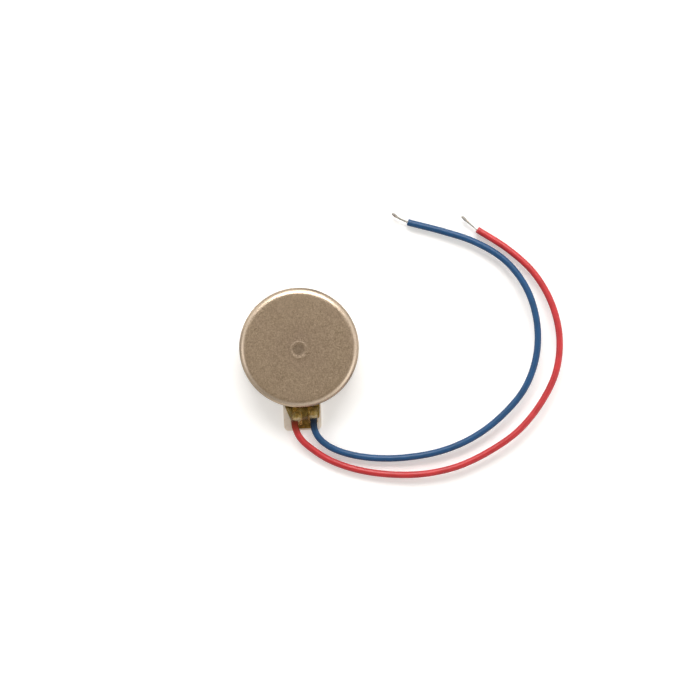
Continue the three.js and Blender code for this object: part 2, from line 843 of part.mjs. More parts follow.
// Joint adhesive: an amber bead over the lands, from the case wall to just past the ends of the insulation.
function adhesiveSolid() {
  const outline = rounded(
    [
      [-1.34, -4.78, 0],
      [-1.2, -5.3, 0.2],
      [-1.02, -6.0, 0.2],
      [-0.9, -6.5, 0.16],
      [-0.42, -6.5, 0.16],
      [-0.06, -6.08, 0.2],
      [0.46, -6.08, 0.2],
      [0.74, -6.34, 0.16],
      [1.2, -6.34, 0.16],
      [1.38, -5.84, 0.2],
      [1.46, -5.2, 0.2],
      [1.44, -4.78, 0],
    ],
    0,
  );
  let s = extrude(outline, 0.2, 0.82, 0.1, 3)
    .subtract(box(-3, 3, -8, -3, -1, TRACE_Z + TRACE_T + 0.012))
    .subtract(disc(CASE_R + 0.02, -1, 4, 60));
  for (const lead of [red, blue]) {
    s = s.subtract(sweep(lead.curve, lead.start * 0.94, 0.16, WIRE_R + 0.014, 12, 8));
    s = s.subtract(sweep(lead.curve, 0, lead.start * 1.2, CONDUCTOR_R + 0.014, 8, 8));
  }
  for (const [x, y] of [RED_JOINT, BLUE_JOINT]) {
    const g = new THREE.SphereGeometry(1, 16, 10);
    g.scale(0.33, 0.38, 0.42);
    g.translate(x, y, SOLDER_Z + 0.02);
    s = s.subtract(solid(g));
  }
  return s;
}
leads.add(part("joint_adhesive", geometryOf(adhesiveSolid()), amberGlue));

// ---------------------------------------------------------------- assembly
const coinMotor = new THREE.Group();
coinMotor.add(stator, rotor, leads);
export default coinMotor;
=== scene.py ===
import bpy, bmesh, math
import numpy as np
from mathutils import Vector, Matrix, noise


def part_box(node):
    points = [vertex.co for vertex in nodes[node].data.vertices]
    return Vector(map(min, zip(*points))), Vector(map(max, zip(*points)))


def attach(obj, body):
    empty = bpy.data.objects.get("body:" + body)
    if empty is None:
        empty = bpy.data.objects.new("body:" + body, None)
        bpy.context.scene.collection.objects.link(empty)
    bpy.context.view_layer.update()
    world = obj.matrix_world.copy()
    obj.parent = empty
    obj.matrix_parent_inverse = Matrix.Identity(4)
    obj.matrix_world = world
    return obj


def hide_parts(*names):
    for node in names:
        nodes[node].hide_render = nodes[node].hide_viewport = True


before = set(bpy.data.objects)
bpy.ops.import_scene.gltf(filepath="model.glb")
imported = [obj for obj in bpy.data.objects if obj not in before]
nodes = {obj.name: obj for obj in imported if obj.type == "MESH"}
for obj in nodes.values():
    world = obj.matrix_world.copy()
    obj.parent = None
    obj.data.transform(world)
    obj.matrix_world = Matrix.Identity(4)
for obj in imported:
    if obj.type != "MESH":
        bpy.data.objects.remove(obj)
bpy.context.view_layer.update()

MM = 0.001


def mm(node):
    """Low and high corner of a CAD node, in millimetres."""
    low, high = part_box(node)
    return [c / MM for c in low], [c / MM for c in high]


# ------------------------------------------------------------------ places and sizes, read from the frame
case_lo, case_hi = mm("case_cover")
plate_lo, plate_hi = mm("bracket")
pad_lo, pad_hi = mm("adhesive_pad")
film_lo, film_hi = mm("flex_circuit")
shaft_lo, shaft_hi = mm("shaft")
magnet_lo, magnet_hi = mm("ring_magnet")
bearing_lo, bearing_hi = mm("rotor_bearing")
board_lo, board_hi = mm("commutator_board")
mould_lo, mould_hi = mm("rotor_overmould")
weight_lo, weight_hi = mm("counterweight")
coil_lo, coil_hi = mm("coil_left")
lwash_lo, lwash_hi = mm("lower_washer")
uwash_lo, uwash_hi = mm("upper_washer")
trace_lo, trace_hi = mm("positive_trace")
brush_lo, brush_hi = mm("negative_brush")
seg_lo, seg_hi = mm("commutator_segment_1")
glue_lo, glue_hi = mm("joint_adhesive")
CASE_R = case_hi[0]
CASE_BASE = case_lo[2]
CASE_TOP = case_hi[2]
CORNER_R = 0.55
WALL = 0.2
NOTCH_W = 1.72
NOTCH_Z = 0.96
PLATE_R = 4.78
TAB_W = 1.6
TAB_Y = plate_lo[1]
ROTOR_R = mould_hi[0]

# Lead centre lines, the same points as the CAD sweeps: joint end first, stripped tip last.
RED = dict(
    joint=[(-0.42, -5.62, 0.72), (-0.5, -5.86, 0.74)],
    run=[(-0.67, -6.14, 0.81), (-0.58, -6.89, 0.86), (-0.18, -7.72, 0.8), (0.73, -8.61, 0.62), (2.13, -9.58, 0.48),
         (4.3, -10.46, 0.46), (7.01, -10.99, 0.54), (9.99, -11.08, 0.66), (12.91, -10.56, 0.8), (15.65, -9.39, 0.92),
         (18.14, -7.76, 1.02), (20.12, -5.54, 1.06), (21.52, -2.92, 1.06), (21.94, 0.01, 1.0), (21.38, 2.93, 0.88),
         (19.98, 5.55, 0.74), (17.87, 7.64, 0.58), (15.43, 9.35, 0.44)],
    tip=[(15.09, 9.63, 0.42), (14.77, 9.92, 0.42), (14.44, 10.22, 0.45), (14.14, 10.55, 0.52)],
)
BLUE = dict(
    joint=[(0.92, -5.44, 0.72), (0.94, -5.7, 0.74)],
    run=[(0.96, -6.0, 0.81), (0.97, -6.86, 0.86), (1.36, -7.72, 0.8), (2.32, -8.53, 0.62), (3.87, -9.18, 0.48),
         (6.14, -9.6, 0.46), (8.87, -9.62, 0.56), (11.78, -9.16, 0.7), (14.51, -8.07, 0.86), (16.9, -6.36, 0.98),
         (18.85, -4.17, 1.06), (19.93, -1.45, 1.1), (20.07, 1.49, 1.06), (19.29, 4.31, 0.96), (17.59, 6.69, 0.8),
         (15.14, 8.32, 0.62), (12.4, 9.36, 0.48), (9.58, 10.22, 0.4)],
    tip=[(9.28, 10.36, 0.4), (8.93, 10.53, 0.42), (8.61, 10.74, 0.47), (8.26, 11.02, 0.56)],
)
WIRE_R = 0.28

# ------------------------------------------------------------------ material kit


class Mat:
    """A node material with a Principled surface and a few short ways to add procedural detail. Coordinates are in millimetres."""

    def __init__(self, name):
        self.m = bpy.data.materials.new(name)
        self.m.use_nodes = True
        self.t = self.m.node_tree
        self.t.nodes.clear()
        out = self.n("ShaderNodeOutputMaterial")
        self.b = self.n("ShaderNodeBsdfPrincipled")
        self.t.links.new(self.b.outputs["BSDF"], out.inputs["Surface"])
        tc = self.n("ShaderNodeTexCoord")
        v = self.n("ShaderNodeVectorMath", operation="SCALE")
        v.inputs["Scale"].default_value = 1000.0
        self.t.links.new(tc.outputs["Object"], v.inputs[0])
        self.p = v.outputs[0]
        s = self.n("ShaderNodeSeparateXYZ")
        self.t.links.new(self.p, s.inputs[0])
        self.x, self.y, self.z = s.outputs

    def n(self, kind, **props):
        node = self.t.nodes.new(kind)
        for k, v in props.items():
            setattr(node, k, v)
        return node

    def put(self, socket, value):
        if isinstance(value, bpy.types.NodeSocket):
            self.t.links.new(value, socket)
        else:
            socket.default_value = value
        return socket

    def set(self, **inputs):
        for k, v in inputs.items():
            self.put(self.b.inputs[k.replace("_", " ")], v)
        return self

    def scaled(self, sx, sy, sz, p=None):
        v = self.n("ShaderNodeVectorMath", operation="MULTIPLY")
        self.put(v.inputs[0], p or self.p)
        v.inputs[1].default_value = (sx, sy, sz)
        return v.outputs[0]

    def noise(self, scale, detail=3.0, rough=0.55, p=None, distortion=0.0):
        v = self.n("ShaderNodeTexNoise")
        self.put(v.inputs["Vector"], p or self.p)
        v.inputs["Scale"].default_value = scale
        v.inputs["Detail"].default_value = detail
        v.inputs["Roughness"].default_value = rough
        v.inputs["Distortion"].default_value = distortion
        return v.outputs["Fac"]

    def voronoi(self, scale, feature="F1", p=None, rand=1.0):
        v = self.n("ShaderNodeTexVoronoi", feature=feature)
        self.put(v.inputs["Vector"], p or self.p)
        v.inputs["Scale"].default_value = scale
        v.inputs["Randomness"].default_value = rand
        return v.outputs["Distance"]

    def math(self, op, a, b=0.0, c=0.0, clamp=False):
        v = self.n("ShaderNodeMath", operation=op, use_clamp=clamp)
        self.put(v.inputs[0], a)
        if len(v.inputs) > 1:
            self.put(v.inputs[1], b)
        if len(v.inputs) > 2:
            self.put(v.inputs[2], c)
        return v.outputs[0]

    def remap(self, a, lo, hi, to_lo=0.0, to_hi=1.0, smooth=False):
        v = self.n("ShaderNodeMapRange", clamp=True, interpolation_type="SMOOTHSTEP" if smooth else "LINEAR")
        self.put(v.inputs["Value"], a)
        for k, x in (("From Min", lo), ("From Max", hi), ("To Min", to_lo), ("To Max", to_hi)):
            self.put(v.inputs[k], x)
        return v.outputs["Result"]

    def ramp(self, fac, *stops):
        v = self.n("ShaderNodeValToRGB")
        self.put(v.inputs["Fac"], fac)
        e = v.color_ramp.elements
        while len(e) < len(stops):
            e.new(0.5)
        for el, (pos, col) in zip(e, stops):
            el.position = pos
            el.color = (*col, 1.0) if len(col) == 3 else col
        return v.outputs["Color"]

    def mix(self, fac, a, b, blend="MIX"):
        v = self.n("ShaderNodeMix", data_type="RGBA", blend_type=blend)
        self.put(v.inputs[0], fac)
        for i, c in ((6, a), (7, b)):
            if not isinstance(c, bpy.types.NodeSocket) and len(c) == 3:
                c = (*c, 1.0)
            self.put(v.inputs[i], c)
        return v.outputs[2]

    def grey(self, a):
        """A factor as a colour, for multiplying."""
        v = self.n("ShaderNodeCombineColor")
        for i in range(3):
            self.put(v.inputs[i], a)
        return v.outputs[0]

    def bump(self, height, dist_mm, strength=1.0, after=None):
        v = self.n("ShaderNodeBump")
        v.inputs["Strength"].default_value = strength
        v.inputs["Distance"].default_value = dist_mm * MM
        self.put(v.inputs["Height"], height)
        if after is not None:
            self.put(v.inputs["Normal"], after)
        self.put(self.b.inputs["Normal"], v.outputs[0])
        return v.outputs[0]

    def radius(self):
        a = self.math("MULTIPLY", self.x, self.x)
        b = self.math("MULTIPLY", self.y, self.y)
        return self.math("SQRT", self.math("ADD", a, b))

    def polar(self):
        """Angle about Z in radians, as an arc-like coordinate."""
        return self.math("ARCTAN2", self.y, self.x)

    def vec(self, x, y, z):
        v = self.n("ShaderNodeCombineXYZ")
        for i, c in enumerate((x, y, z)):
            self.put(v.inputs[i], c)
        return v.outputs[0]


def srgb(r, g, b):
    """0 to 255 display values as a linear colour."""
    f = lambda c: c / 12.92 if c <= 0.04045 else ((c + 0.055) / 1.055) ** 2.4
    return tuple(f(c / 255.0) for c in (r, g, b))


def scaled_colour(c, k):
    return tuple(min(1.0, x * k) for x in c)


# ------------------------------------------------------------------ mesh kit (millimetres)


def finish_mesh(name, bm, sharp_deg=32.0):
    bmesh.ops.remove_doubles(bm, verts=bm.verts, dist=1e-5)
    bmesh.ops.dissolve_degenerate(bm, edges=bm.edges, dist=1e-6)
    bmesh.ops.recalc_face_normals(bm, faces=bm.faces)
    for f in bm.faces:
        f.smooth = True
    me = bpy.data.meshes.new(name)
    bm.to_mesh(me)
    bm.free()
    volume = 0.0
    me.calc_loop_triangles()
    for t in me.loop_triangles:
        a, b, c = (me.vertices[i].co for i in t.vertices)
        volume += a.dot(b.cross(c))
    if volume < 0:
        me.flip_normals()
    me.set_sharp_from_angle(angle=math.radians(sharp_deg))
    me.transform(Matrix.Scale(MM, 4))
    me.update()
    ob = bpy.data.objects.new(name, me)
    bpy.context.scene.collection.objects.link(ob)
    return ob


def add(bm, verts, faces):
    vs = [bm.verts.new(v) for v in verts]
    for f in faces:
        ids = []
        for i in f:
            if not ids or i != ids[-1]:
                ids.append(i)
        if ids[0] == ids[-1]:
            ids.pop()
        if len(ids) > 2:
            try:
                bm.faces.new([vs[i] for i in ids])
            except ValueError:
                pass
    return vs


def fillet(points, steps=6, closed=True):
    """Rounds a polyline's corners with true arcs. Each point is (x, y, radius)."""
    out, n = [], len(points)
    for i, (x, y, r) in enumerate(points):
        p = Vector((x, y))
        if r <= 0 or (not closed and i in (0, n - 1)):
            out.append((x, y))
            continue
        a, b = Vector(points[i - 1][:2]), Vector(points[(i + 1) % n][:2])
        u, v = (a - p), (b - p)
        la, lb = u.length, v.length
        u.normalize(), v.normalize()
        ang = math.acos(max(-1, min(1, u.dot(v))))
        if ang > math.pi - 1e-3:
            out.append((x, y))
            continue
        t = min(r / math.tan(ang / 2), 0.499 * min(la, lb))
        rr = t * math.tan(ang / 2)
        c = p + (u + v).normalized() * (rr / math.sin(ang / 2))
        s, e = p + u * t - c, p + v * t - c
        a0, a1 = math.atan2(s.y, s.x), math.atan2(e.y, e.x)
        d = (a1 - a0 + math.pi) % (2 * math.pi) - math.pi
        for k in range(steps + 1):
            q = a0 + d * k / steps
            out.append((c.x + rr * math.cos(q), c.y + rr * math.sin(q)))
    return out


def lathe(bm, profile, n=192, closed=False, warp=None):
    """Revolves (r, z) points about Z."""
    verts, rings = [], []
    for r, z in profile:
        if r < 1e-7:
            verts.append((0, 0, z))
            rings.append([len(verts) - 1] * n)
        else:
            base = len(verts)
            for j in range(n):
                a = 2 * math.pi * j / n
                rr, zz = (r, z) if warp is None else warp(r, z, a)
                verts.append((rr * math.cos(a), rr * math.sin(a), zz))
            rings.append(list(range(base, base + n)))
    faces = []
    pairs = list(zip(rings, rings[1:])) + ([(rings[-1], rings[0])] if closed else [])
    for lo, hi in pairs:
        for j in range(n):
            k = (j + 1) % n
            faces.append((lo[j], lo[k], hi[k], hi[j]))
    return add(bm, verts, faces)


def resample(points, step, closed=True):
    pts = [Vector(p) for p in points]
    if closed:
        pts.append(pts[0])
    out = []
    for a, b in zip(pts, pts[1:]):
        n = max(1, int(math.ceil((b - a).length / step)))
        out += [a.lerp(b, k / n) for k in range(n)]
    if not closed:
        out.append(pts[-1])
    return [tuple(p) for p in out]


def plate(name, loops, z0, z1, edge=0.02, sharp=32.0, resolution=2, tri=True):
    """A flat sheet part: outline loops (the later ones are holes), from z0 to z1, with rounded edges."""
    cu = bpy.data.curves.new(name + "_outline", "CURVE")
    cu.dimensions = "2D"
    cu.fill_mode = "BOTH"
    cu.extrude = (z1 - z0) / 2 - edge
    cu.bevel_depth = edge
    cu.bevel_resolution = resolution
    cu.offset = -edge
    for loop in loops:
        sp = cu.splines.new("POLY")
        sp.points.add(len(loop) - 1)
        for p, (x, y) in zip(sp.points, loop):
            p.co = (x, y, 0, 1)
        sp.use_cyclic_u = True
    ob = bpy.data.objects.new(name + "_outline", cu)
    bpy.context.scene.collection.objects.link(ob)
    bpy.context.view_layer.update()
    dg = bpy.context.evaluated_depsgraph_get()
    me = bpy.data.meshes.new_from_object(ob.evaluated_get(dg))
    bpy.data.objects.remove(ob)
    bm = bmesh.new()
    bm.from_mesh(me)
    bpy.data.meshes.remove(me)
    bmesh.ops.remove_doubles(bm, verts=bm.verts, dist=1e-4)
    bmesh.ops.translate(bm, verts=bm.verts, vec=(0, 0, (z0 + z1) / 2))
    return bm


def boolean(bm, cutter_bm, op="DIFFERENCE", solver="EXACT"):
    """Cuts or joins one closed mesh with another."""
    objs = []
    for b in (bm, cutter_bm):
        bmesh.ops.recalc_face_normals(b, faces=b.faces)
        if b.calc_volume(signed=True) < 0:
            bmesh.ops.reverse_faces(b, faces=b.faces)
        me = bpy.data.meshes.new("tmp")
        b.to_mesh(me)
        b.free()
        ob = bpy.data.objects.new("tmp", me)
        bpy.context.scene.collection.objects.link(ob)
        objs.append(ob)
    mod = objs[0].modifiers.new("cut", "BOOLEAN")
    mod.operation = op
    mod.solver = solver
    mod.object = objs[1]
    bpy.context.view_layer.update()
    dg = bpy.context.evaluated_depsgraph_get()
    me = bpy.data.meshes.new_from_object(objs[0].evaluated_get(dg))
    out = bmesh.new()
    out.from_mesh(me)
    for o in objs:
        m = o.data
        bpy.data.objects.remove(o)
        bpy.data.meshes.remove(m)
    bpy.data.meshes.remove(me)
    return out


def box_bm(x0, x1, y0, y1, z0, z1):
    bm = bmesh.new()
    v = [(x, y, z) for x in (x0, x1) for y in (y0, y1) for z in (z0, z1)]
    add(bm, v, [(0, 1, 3, 2), (4, 6, 7, 5), (0, 4, 5, 1), (2, 3, 7, 6), (0, 2, 6, 4), (1, 5, 7, 3)])
    return bm


def catmull(points, samples):
    """Centripetal Catmull-Rom through points, as (sample positions, parameter 0 to 1)."""
    P = [Vector(p) for p in points]
    n = len(P)
    out = []
    for s in samples:
        u = s * (n - 1)
        i = min(int(u), n - 2)
        w = u - i
        p1, p2 = P[i], P[i + 1]
        p0 = P[i - 1] if i > 0 else p1 * 2 - p2
        p3 = P[i + 2] if i + 2 < n else p2 * 2 - p1
        d0, d1, d2 = (max(1e-6, (b - a).length ** 0.5) for a, b in ((p0, p1), (p1, p2), (p2, p3)))
        t1 = ((p1 - p0) / d0 - (p2 - p0) / (d0 + d1) + (p2 - p1) / d1) * d1
        t2 = ((p2 - p1) / d1 - (p3 - p1) / (d1 + d2) + (p3 - p2) / d2) * d1
        c0, c1 = p1, t1
        c2 = -3 * p1 + 3 * p2 - 2 * t1 - t2
        c3 = 2 * p1 - 2 * p2 + t1 + t2
        out.append(c0 + c1 * w + c2 * w * w + c3 * w ** 3)
    return out


class Path:
    """A smooth centre line with rotation-minimising frames and lookup by length, in millimetres."""

    def __init__(self, points, fine=1500):
        pts = catmull(points, [k / fine for k in range(fine + 1)])
        # light smoothing takes out the small wobble of the traced points
        arr = np.array([tuple(p) for p in pts])
        for _ in range(60):
            arr[1:-1] = arr[1:-1] * 0.5 + (arr[:-2] + arr[2:]) * 0.25
        self.c = [Vector(p) for p in arr]
        self.s = [0.0]
        for a, b in zip(self.c, self.c[1:]):
            self.s.append(self.s[-1] + (b - a).length)
        self.length = self.s[-1]
        tangents = []
        for i in range(len(self.c)):
            a, b = self.c[max(0, i - 1)], self.c[min(len(self.c) - 1, i + 1)]
            tangents.append((b - a).normalized())
        n = Vector((0, 0, 1))
        n = (n - tangents[0] * n.dot(tangents[0])).normalized()
        self.f = []
        for t in tangents:
            n = (n - t * n.dot(t)).normalized()
            self.f.append((t, n.copy(), t.cross(n)))

    def at(self, s):
        s = max(0.0, min(self.length, s))
        i = int(np.searchsorted(self.s, s)) - 1
        i = max(0, min(len(self.c) - 2, i))
        w = (s - self.s[i]) / max(1e-9, self.s[i + 1] - self.s[i])
        c = self.c[i].lerp(self.c[i + 1], w)
        t, n, b = (x.lerp(y, w) for x, y in zip(self.f[i], self.f[i + 1]))
        return c, t.normalized(), n.normalized(), b.normalized()

    def near(self, p):
        p = Vector(p)
        i = min(range(len(self.c)), key=lambda k: (self.c[k] - p).length_squared)
        return self.s[i]


def tube(bm, rings, cap0=True, cap1=True):
    """Joins rings of equal count into a tube; rings are lists of points."""
    m = len(rings[0])
    verts = [p for r in rings for p in r]
    faces = []
    for i in range(len(rings) - 1):
        for j in range(m):
            k = (j + 1) % m
            faces.append((i * m + j, i * m + k, (i + 1) * m + k, (i + 1) * m + j))
    if cap0:
        c = sum((Vector(p) for p in rings[0]), Vector()) / m
        verts.append(tuple(c))
        faces += [(len(verts) - 1, (j + 1) % m, j) for j in range(m)]
    if cap1:
        base = (len(rings) - 1) * m
        c = sum((Vector(p) for p in rings[-1]), Vector()) / m
        verts.append(tuple(c))
        faces += [(len(verts) - 1, base + j, base + (j + 1) % m) for j in range(m)]
    return add(bm, verts, faces)


def give(ob, material, slot, body, *replaced):
    """Finish (put in the mesh's material slot), body and the CAD nodes it stands for; the slot name is not used."""
    ob.data.materials.clear()
    ob.data.materials.append(material)
    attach(ob, body)
    if replaced:
        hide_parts(*replaced)
    return ob


# ------------------------------------------------------------------ materials
STEEL = (0.715, 0.578, 0.448)
SHOULDER = 0.62  # reach of the eased corner between the face and the wall
DIMPLE_Y = -0.19  # the coined dimple sits a little off the case centre


def case_steel():
    m = Mat("case_steel")
    r = m.radius()
    grain = m.noise(9.0, 4.0, 0.65)
    fine = m.noise(26.0, 3.0, 0.6)
    cloud = m.noise(0.55, 3.0, 0.5)
    # nickel over steel: warm, a little darker and pinker towards the middle of the closed end
    edge = m.remap(r, 0.4, 3.4, 0.0, 1.0, smooth=True)
    col = m.mix(edge, (0.672, 0.535, 0.425), STEEL)
    col = m.mix(m.remap(cloud, 0.3, 0.7, 0.0, 0.35), col, (0.74, 0.61, 0.45))
    # painted shade darkens the floor of the dimple, and a painted highlight lightens the ring round its slope
    yd = m.math("SUBTRACT", m.y, DIMPLE_Y)
    rd = m.math("SQRT", m.math("ADD", m.math("MULTIPLY", m.x, m.x), m.math("MULTIPLY", yd, yd)))
    dimple_floor_painted_shade = m.remap(rd, 0.40, 0.54, 0.76, 1.0, smooth=True)
    # ring is the mask of the painted highlight on the dimple's slope
    ring = m.math("MULTIPLY", m.remap(rd, 0.50, 0.62, smooth=True), m.remap(rd, 0.68, 0.80, 1.0, 0.0, smooth=True))
    ring = m.math("MULTIPLY", ring, m.remap(m.z, CASE_TOP - 0.12, CASE_TOP - 0.06))
    col = m.mix(1.0, col, m.grey(dimple_floor_painted_shade), "MULTIPLY")
    col = m.mix(m.math("MULTIPLY", ring, 0.3), col, (0.95, 0.81, 0.66))
    wall = m.remap(m.z, CASE_TOP - CORNER_R, CASE_TOP - 0.1, 1.0, 0.0)
    calm = m.remap(wall, 0.0, 1.0, 1.0, 0.2)
    for tone, lo, hi in ((grain, 0.81, 1.12), (fine, 0.88, 1.09)):
        deep = m.math("ADD", 1.0, m.math("MULTIPLY", m.math("SUBTRACT", m.remap(tone, 0.31, 0.69, lo, hi), 1.0), calm))
        col = m.mix(1.0, col, m.grey(deep), "MULTIPLY")
    # drawing lines run up the wall
    arc = m.math("MULTIPLY", m.polar(), CASE_R)
    lines = m.noise(1.0, 4.0, 0.7, p=m.vec(m.math("MULTIPLY", arc, 22.0), m.math("MULTIPLY", m.z, 0.6), 0.0))
    # light scuffs from handling
    scuff = m.noise(1.0, 2.0, 0.5, p=m.scaled(0.7, 16.0, 3.0), distortion=0.6)
    scuff2 = m.noise(1.0, 2.0, 0.5, p=m.scaled(14.0, 0.8, 3.0), distortion=0.8)
    marks = m.math("MULTIPLY", m.math("MAXIMUM", m.remap(scuff, 0.69, 0.74), m.remap(scuff2, 0.70, 0.75)), m.math("SUBTRACT", 1.0, wall))
    col = m.mix(m.math("MULTIPLY", marks, 0.22), col, (0.9, 0.8, 0.68))
    col = m.mix(1.0, col, m.grey(m.math("SUBTRACT", 1.0, m.math("MULTIPLY", m.math("MULTIPLY", wall, m.remap(lines, 0.45, 0.75)), 0.13))), "MULTIPLY")
    rough = m.math("ADD", m.remap(grain, 0.3, 0.7, 0.30, 0.42), m.math("MULTIPLY", marks, -0.08))
    rough = m.math("SUBTRACT", rough, m.math("MULTIPLY", wall, 0.13))
    m.set(Base_Color=col, Metallic=1.0, Roughness=rough)
    h = m.math("MULTIPLY", m.math("ADD", m.math("MULTIPLY", grain, 0.6), m.math("MULTIPLY", fine, 0.4)), calm)
    h = m.math("ADD", h, m.math("MULTIPLY", m.math("MULTIPLY", lines, wall), 0.28))
    m.bump(h, 0.006, 0.55)
    return m.m


def bracket_steel_painted_glow():
    """Matt tin plate: half its light is scattered, and a faint painted glow (emission) keeps the tab pale under a dark
    ceiling.
    """
    m = Mat("bracket_steel")
    roll = m.noise(1.0, 3.0, 0.6, p=m.scaled(18.0, 1.4, 6.0))
    cloud = m.noise(1.1, 3.0, 0.5)
    tint = (1.0, 0.915, 0.81)
    col = m.mix(m.remap(cloud, 0.3, 0.7), scaled_colour(tint, 0.9), tint)
    col = m.mix(1.0, col, m.grey(m.remap(roll, 0.3, 0.75, 0.93, 1.04)), "MULTIPLY")
    stain = m.math("MAXIMUM", m.remap(m.noise(6.0, 4.0, 0.7), 0.62, 0.8), 0.0)
    col = m.mix(m.math("MULTIPLY", stain, 0.35), col, (0.55, 0.45, 0.35))
    # flux has run out from the joints along the middle of the tab
    run = m.math("MULTIPLY", m.remap(m.noise(2.4, 3.0, 0.6, distortion=0.6), 0.5, 0.66), m.remap(m.y, -6.95, -6.2, 0.35, 1.0))
    col = m.mix(m.math("MULTIPLY", run, 0.3), col, (0.52, 0.36, 0.2))
    # a faint painted glow: the emission lifts the tab out of the shade of the case
    m.set(Base_Color=col, Metallic=0.1, Roughness=m.remap(roll, 0.3, 0.75, 0.34, 0.48), Emission_Color=(1.0, 0.9, 0.76, 1.0), Emission_Strength=0.075)
    m.bump(m.math("ADD", roll, m.math("MULTIPLY", m.noise(20.0), 0.4)), 0.004, 0.6)
    return m.m


def film_amber():
    m = Mat("polyimide_film")
    fibre = m.noise(3.6, 4.0, 0.6)
    blotch = m.noise(1.9, 3.0, 0.6, distortion=1.2)
    col = m.ramp(m.remap(blotch, 0.3, 0.7), (0.0, srgb(94, 72, 22)), (0.5, srgb(142, 110, 42)), (1.0, srgb(182, 148, 76)))
    col = m.mix(1.0, col, m.grey(m.remap(fibre, 0.3, 0.7, 0.84, 1.12)), "MULTIPLY")
    m.set(Base_Color=col, Roughness=m.remap(fibre, 0.3, 0.7, 0.26, 0.4), Specular_IOR_Level=0.35)
    m.bump(m.noise(3.0, 2.0), 0.01, 0.35)
    return m.m


def gold_copper():
    m = Mat("gold_plated_copper")
    grain = m.noise(14.0, 4.0, 0.65)
    stain = m.noise(2.2, 3.0, 0.5, distortion=0.6)
    col = m.mix(m.remap(stain, 0.35, 0.7), (0.93, 0.66, 0.28), (0.80, 0.46, 0.19))
    col = m.mix(1.0, col, m.grey(m.remap(grain, 0.3, 0.7, 0.88, 1.06)), "MULTIPLY")
    m.set(Base_Color=col, Metallic=1.0, Roughness=m.remap(grain, 0.3, 0.7, 0.2, 0.36))
    m.bump(grain, 0.002, 0.6)
    return m.m


def solder_metal():
    m = Mat("solder")
    frost = m.noise(9.0, 5.0, 0.65)
    flux = m.noise(3.1, 3.0, 0.5, distortion=0.7)
    col = m.mix(m.remap(flux, 0.52, 0.72), (0.97, 0.885, 0.745), (0.76, 0.54, 0.30))
    col = m.mix(1.0, col, m.grey(m.remap(frost, 0.3, 0.7, 0.86, 1.05)), "MULTIPLY")
    # the side towards the insulation is bare of resin and less metallic, and a faint painted glow (emission) gives it
    # a pale glint
    front = m.remap(m.math("SUBTRACT", m.y, m.remap(m.x, 0.1, 0.5, 0.0, 0.15)), -5.97, -5.74, 1.0, 0.0, smooth=True)
    # Emission_Strength here is the painted glow of the glint
    m.set(Base_Color=col, Metallic=m.remap(front, 0.0, 1.0, 0.5, 0.1), Roughness=m.remap(frost, 0.3, 0.7, 0.22, 0.4), Emission_Color=(1.0, 0.87, 0.66, 1.0), Emission_Strength=m.math("MULTIPLY", front, 0.1))
    m.bump(m.math("ADD", frost, m.math("MULTIPLY", m.voronoi(11.0), 0.4)), 0.012, 0.5)
    return m.m


def amber_resin():
    m = Mat("joint_adhesive")
    cloud = m.noise(2.0, 3.0, 0.55, distortion=1.1)
    speck = m.voronoi(7.0)
    col = m.ramp(m.remap(cloud, 0.3, 0.7), (0.0, (0.33, 0.22, 0.04)), (0.5, (0.57, 0.41, 0.10)), (1.0, (0.80, 0.62, 0.23)))
    col = m.mix(m.remap(speck, 0.0, 0.1, 0.35, 0.0), col, (0.30, 0.17, 0.03))
    # it thins to an almost clear skin where the insulation begins
    front = m.math("SUBTRACT", m.y, m.remap(m.x, 0.1, 0.5, 0.0, 0.13))
    thin = m.remap(m.math("ADD", front, m.remap(m.noise(3.6), 0.3, 0.7, -0.06, 0.06)), -5.98, -5.82, 1.0, 0.0, smooth=True)
    col = m.mix(thin, col, (0.93, 0.81, 0.54))
    m.set(Base_Color=col, Roughness=m.remap(m.noise(4.0), 0.3, 0.7, 0.05, 0.16), IOR=1.46, Specular_IOR_Level=m.remap(thin, 0.0, 1.0, 0.42, 0.22), Specular_Tint=(1.0, 0.9, 0.74, 1.0), Transmission_Weight=m.remap(thin, 0.0, 1.0, 0.72, 0.94))
    m.bump(m.math("ADD", m.noise(2.0, 2.0), m.math("MULTIPLY", m.noise(8.0, 2.0), 0.1)), 0.04, 0.4)
    return m.m


def insulation(name, deep, lit, start, stain, sheen):
    m = Mat(name)
    skin = m.noise(13.0, 4.0, 0.6)
    long_ = m.noise(0.9, 2.0, 0.5)
    col = m.mix(m.remap(long_, 0.3, 0.7), deep, lit)
    col = m.mix(1.0, col, m.grey(m.remap(skin, 0.3, 0.7, 0.93, 1.05)), "MULTIPLY")
    dust = m.remap(m.noise(5.0, 5.0, 0.7), 0.66, 0.8)
    col = m.mix(m.math("MULTIPLY", dust, 0.12), col, (0.75, 0.72, 0.68))
    # resin wicks a little way along the first millimetre
    v = m.n("ShaderNodeVectorMath", operation="DISTANCE")
    m.put(v.inputs[0], m.p)
    v.inputs[1].default_value = start
    wet = m.remap(m.math("ADD", v.outputs["Value"], m.remap(m.noise(3.0), 0.3, 0.7, -0.12, 0.12)), 0.46, 1.3, 1.0, 0.0, smooth=True)
    col = m.mix(m.math("MULTIPLY", wet, 0.84), col, stain)
    rough = m.math("ADD", m.remap(skin, 0.3, 0.7, 0.40, 0.52), m.math("MULTIPLY", wet, 0.1))
    m.set(Base_Color=col, Roughness=rough, Specular_IOR_Level=m.remap(wet, 0.0, 1.0, sheen, 0.18))
    m.bump(m.math("ADD", skin, m.math("MULTIPLY", m.noise(3.5, 2.0), 0.7)), 0.01, 0.45)
    return m.m


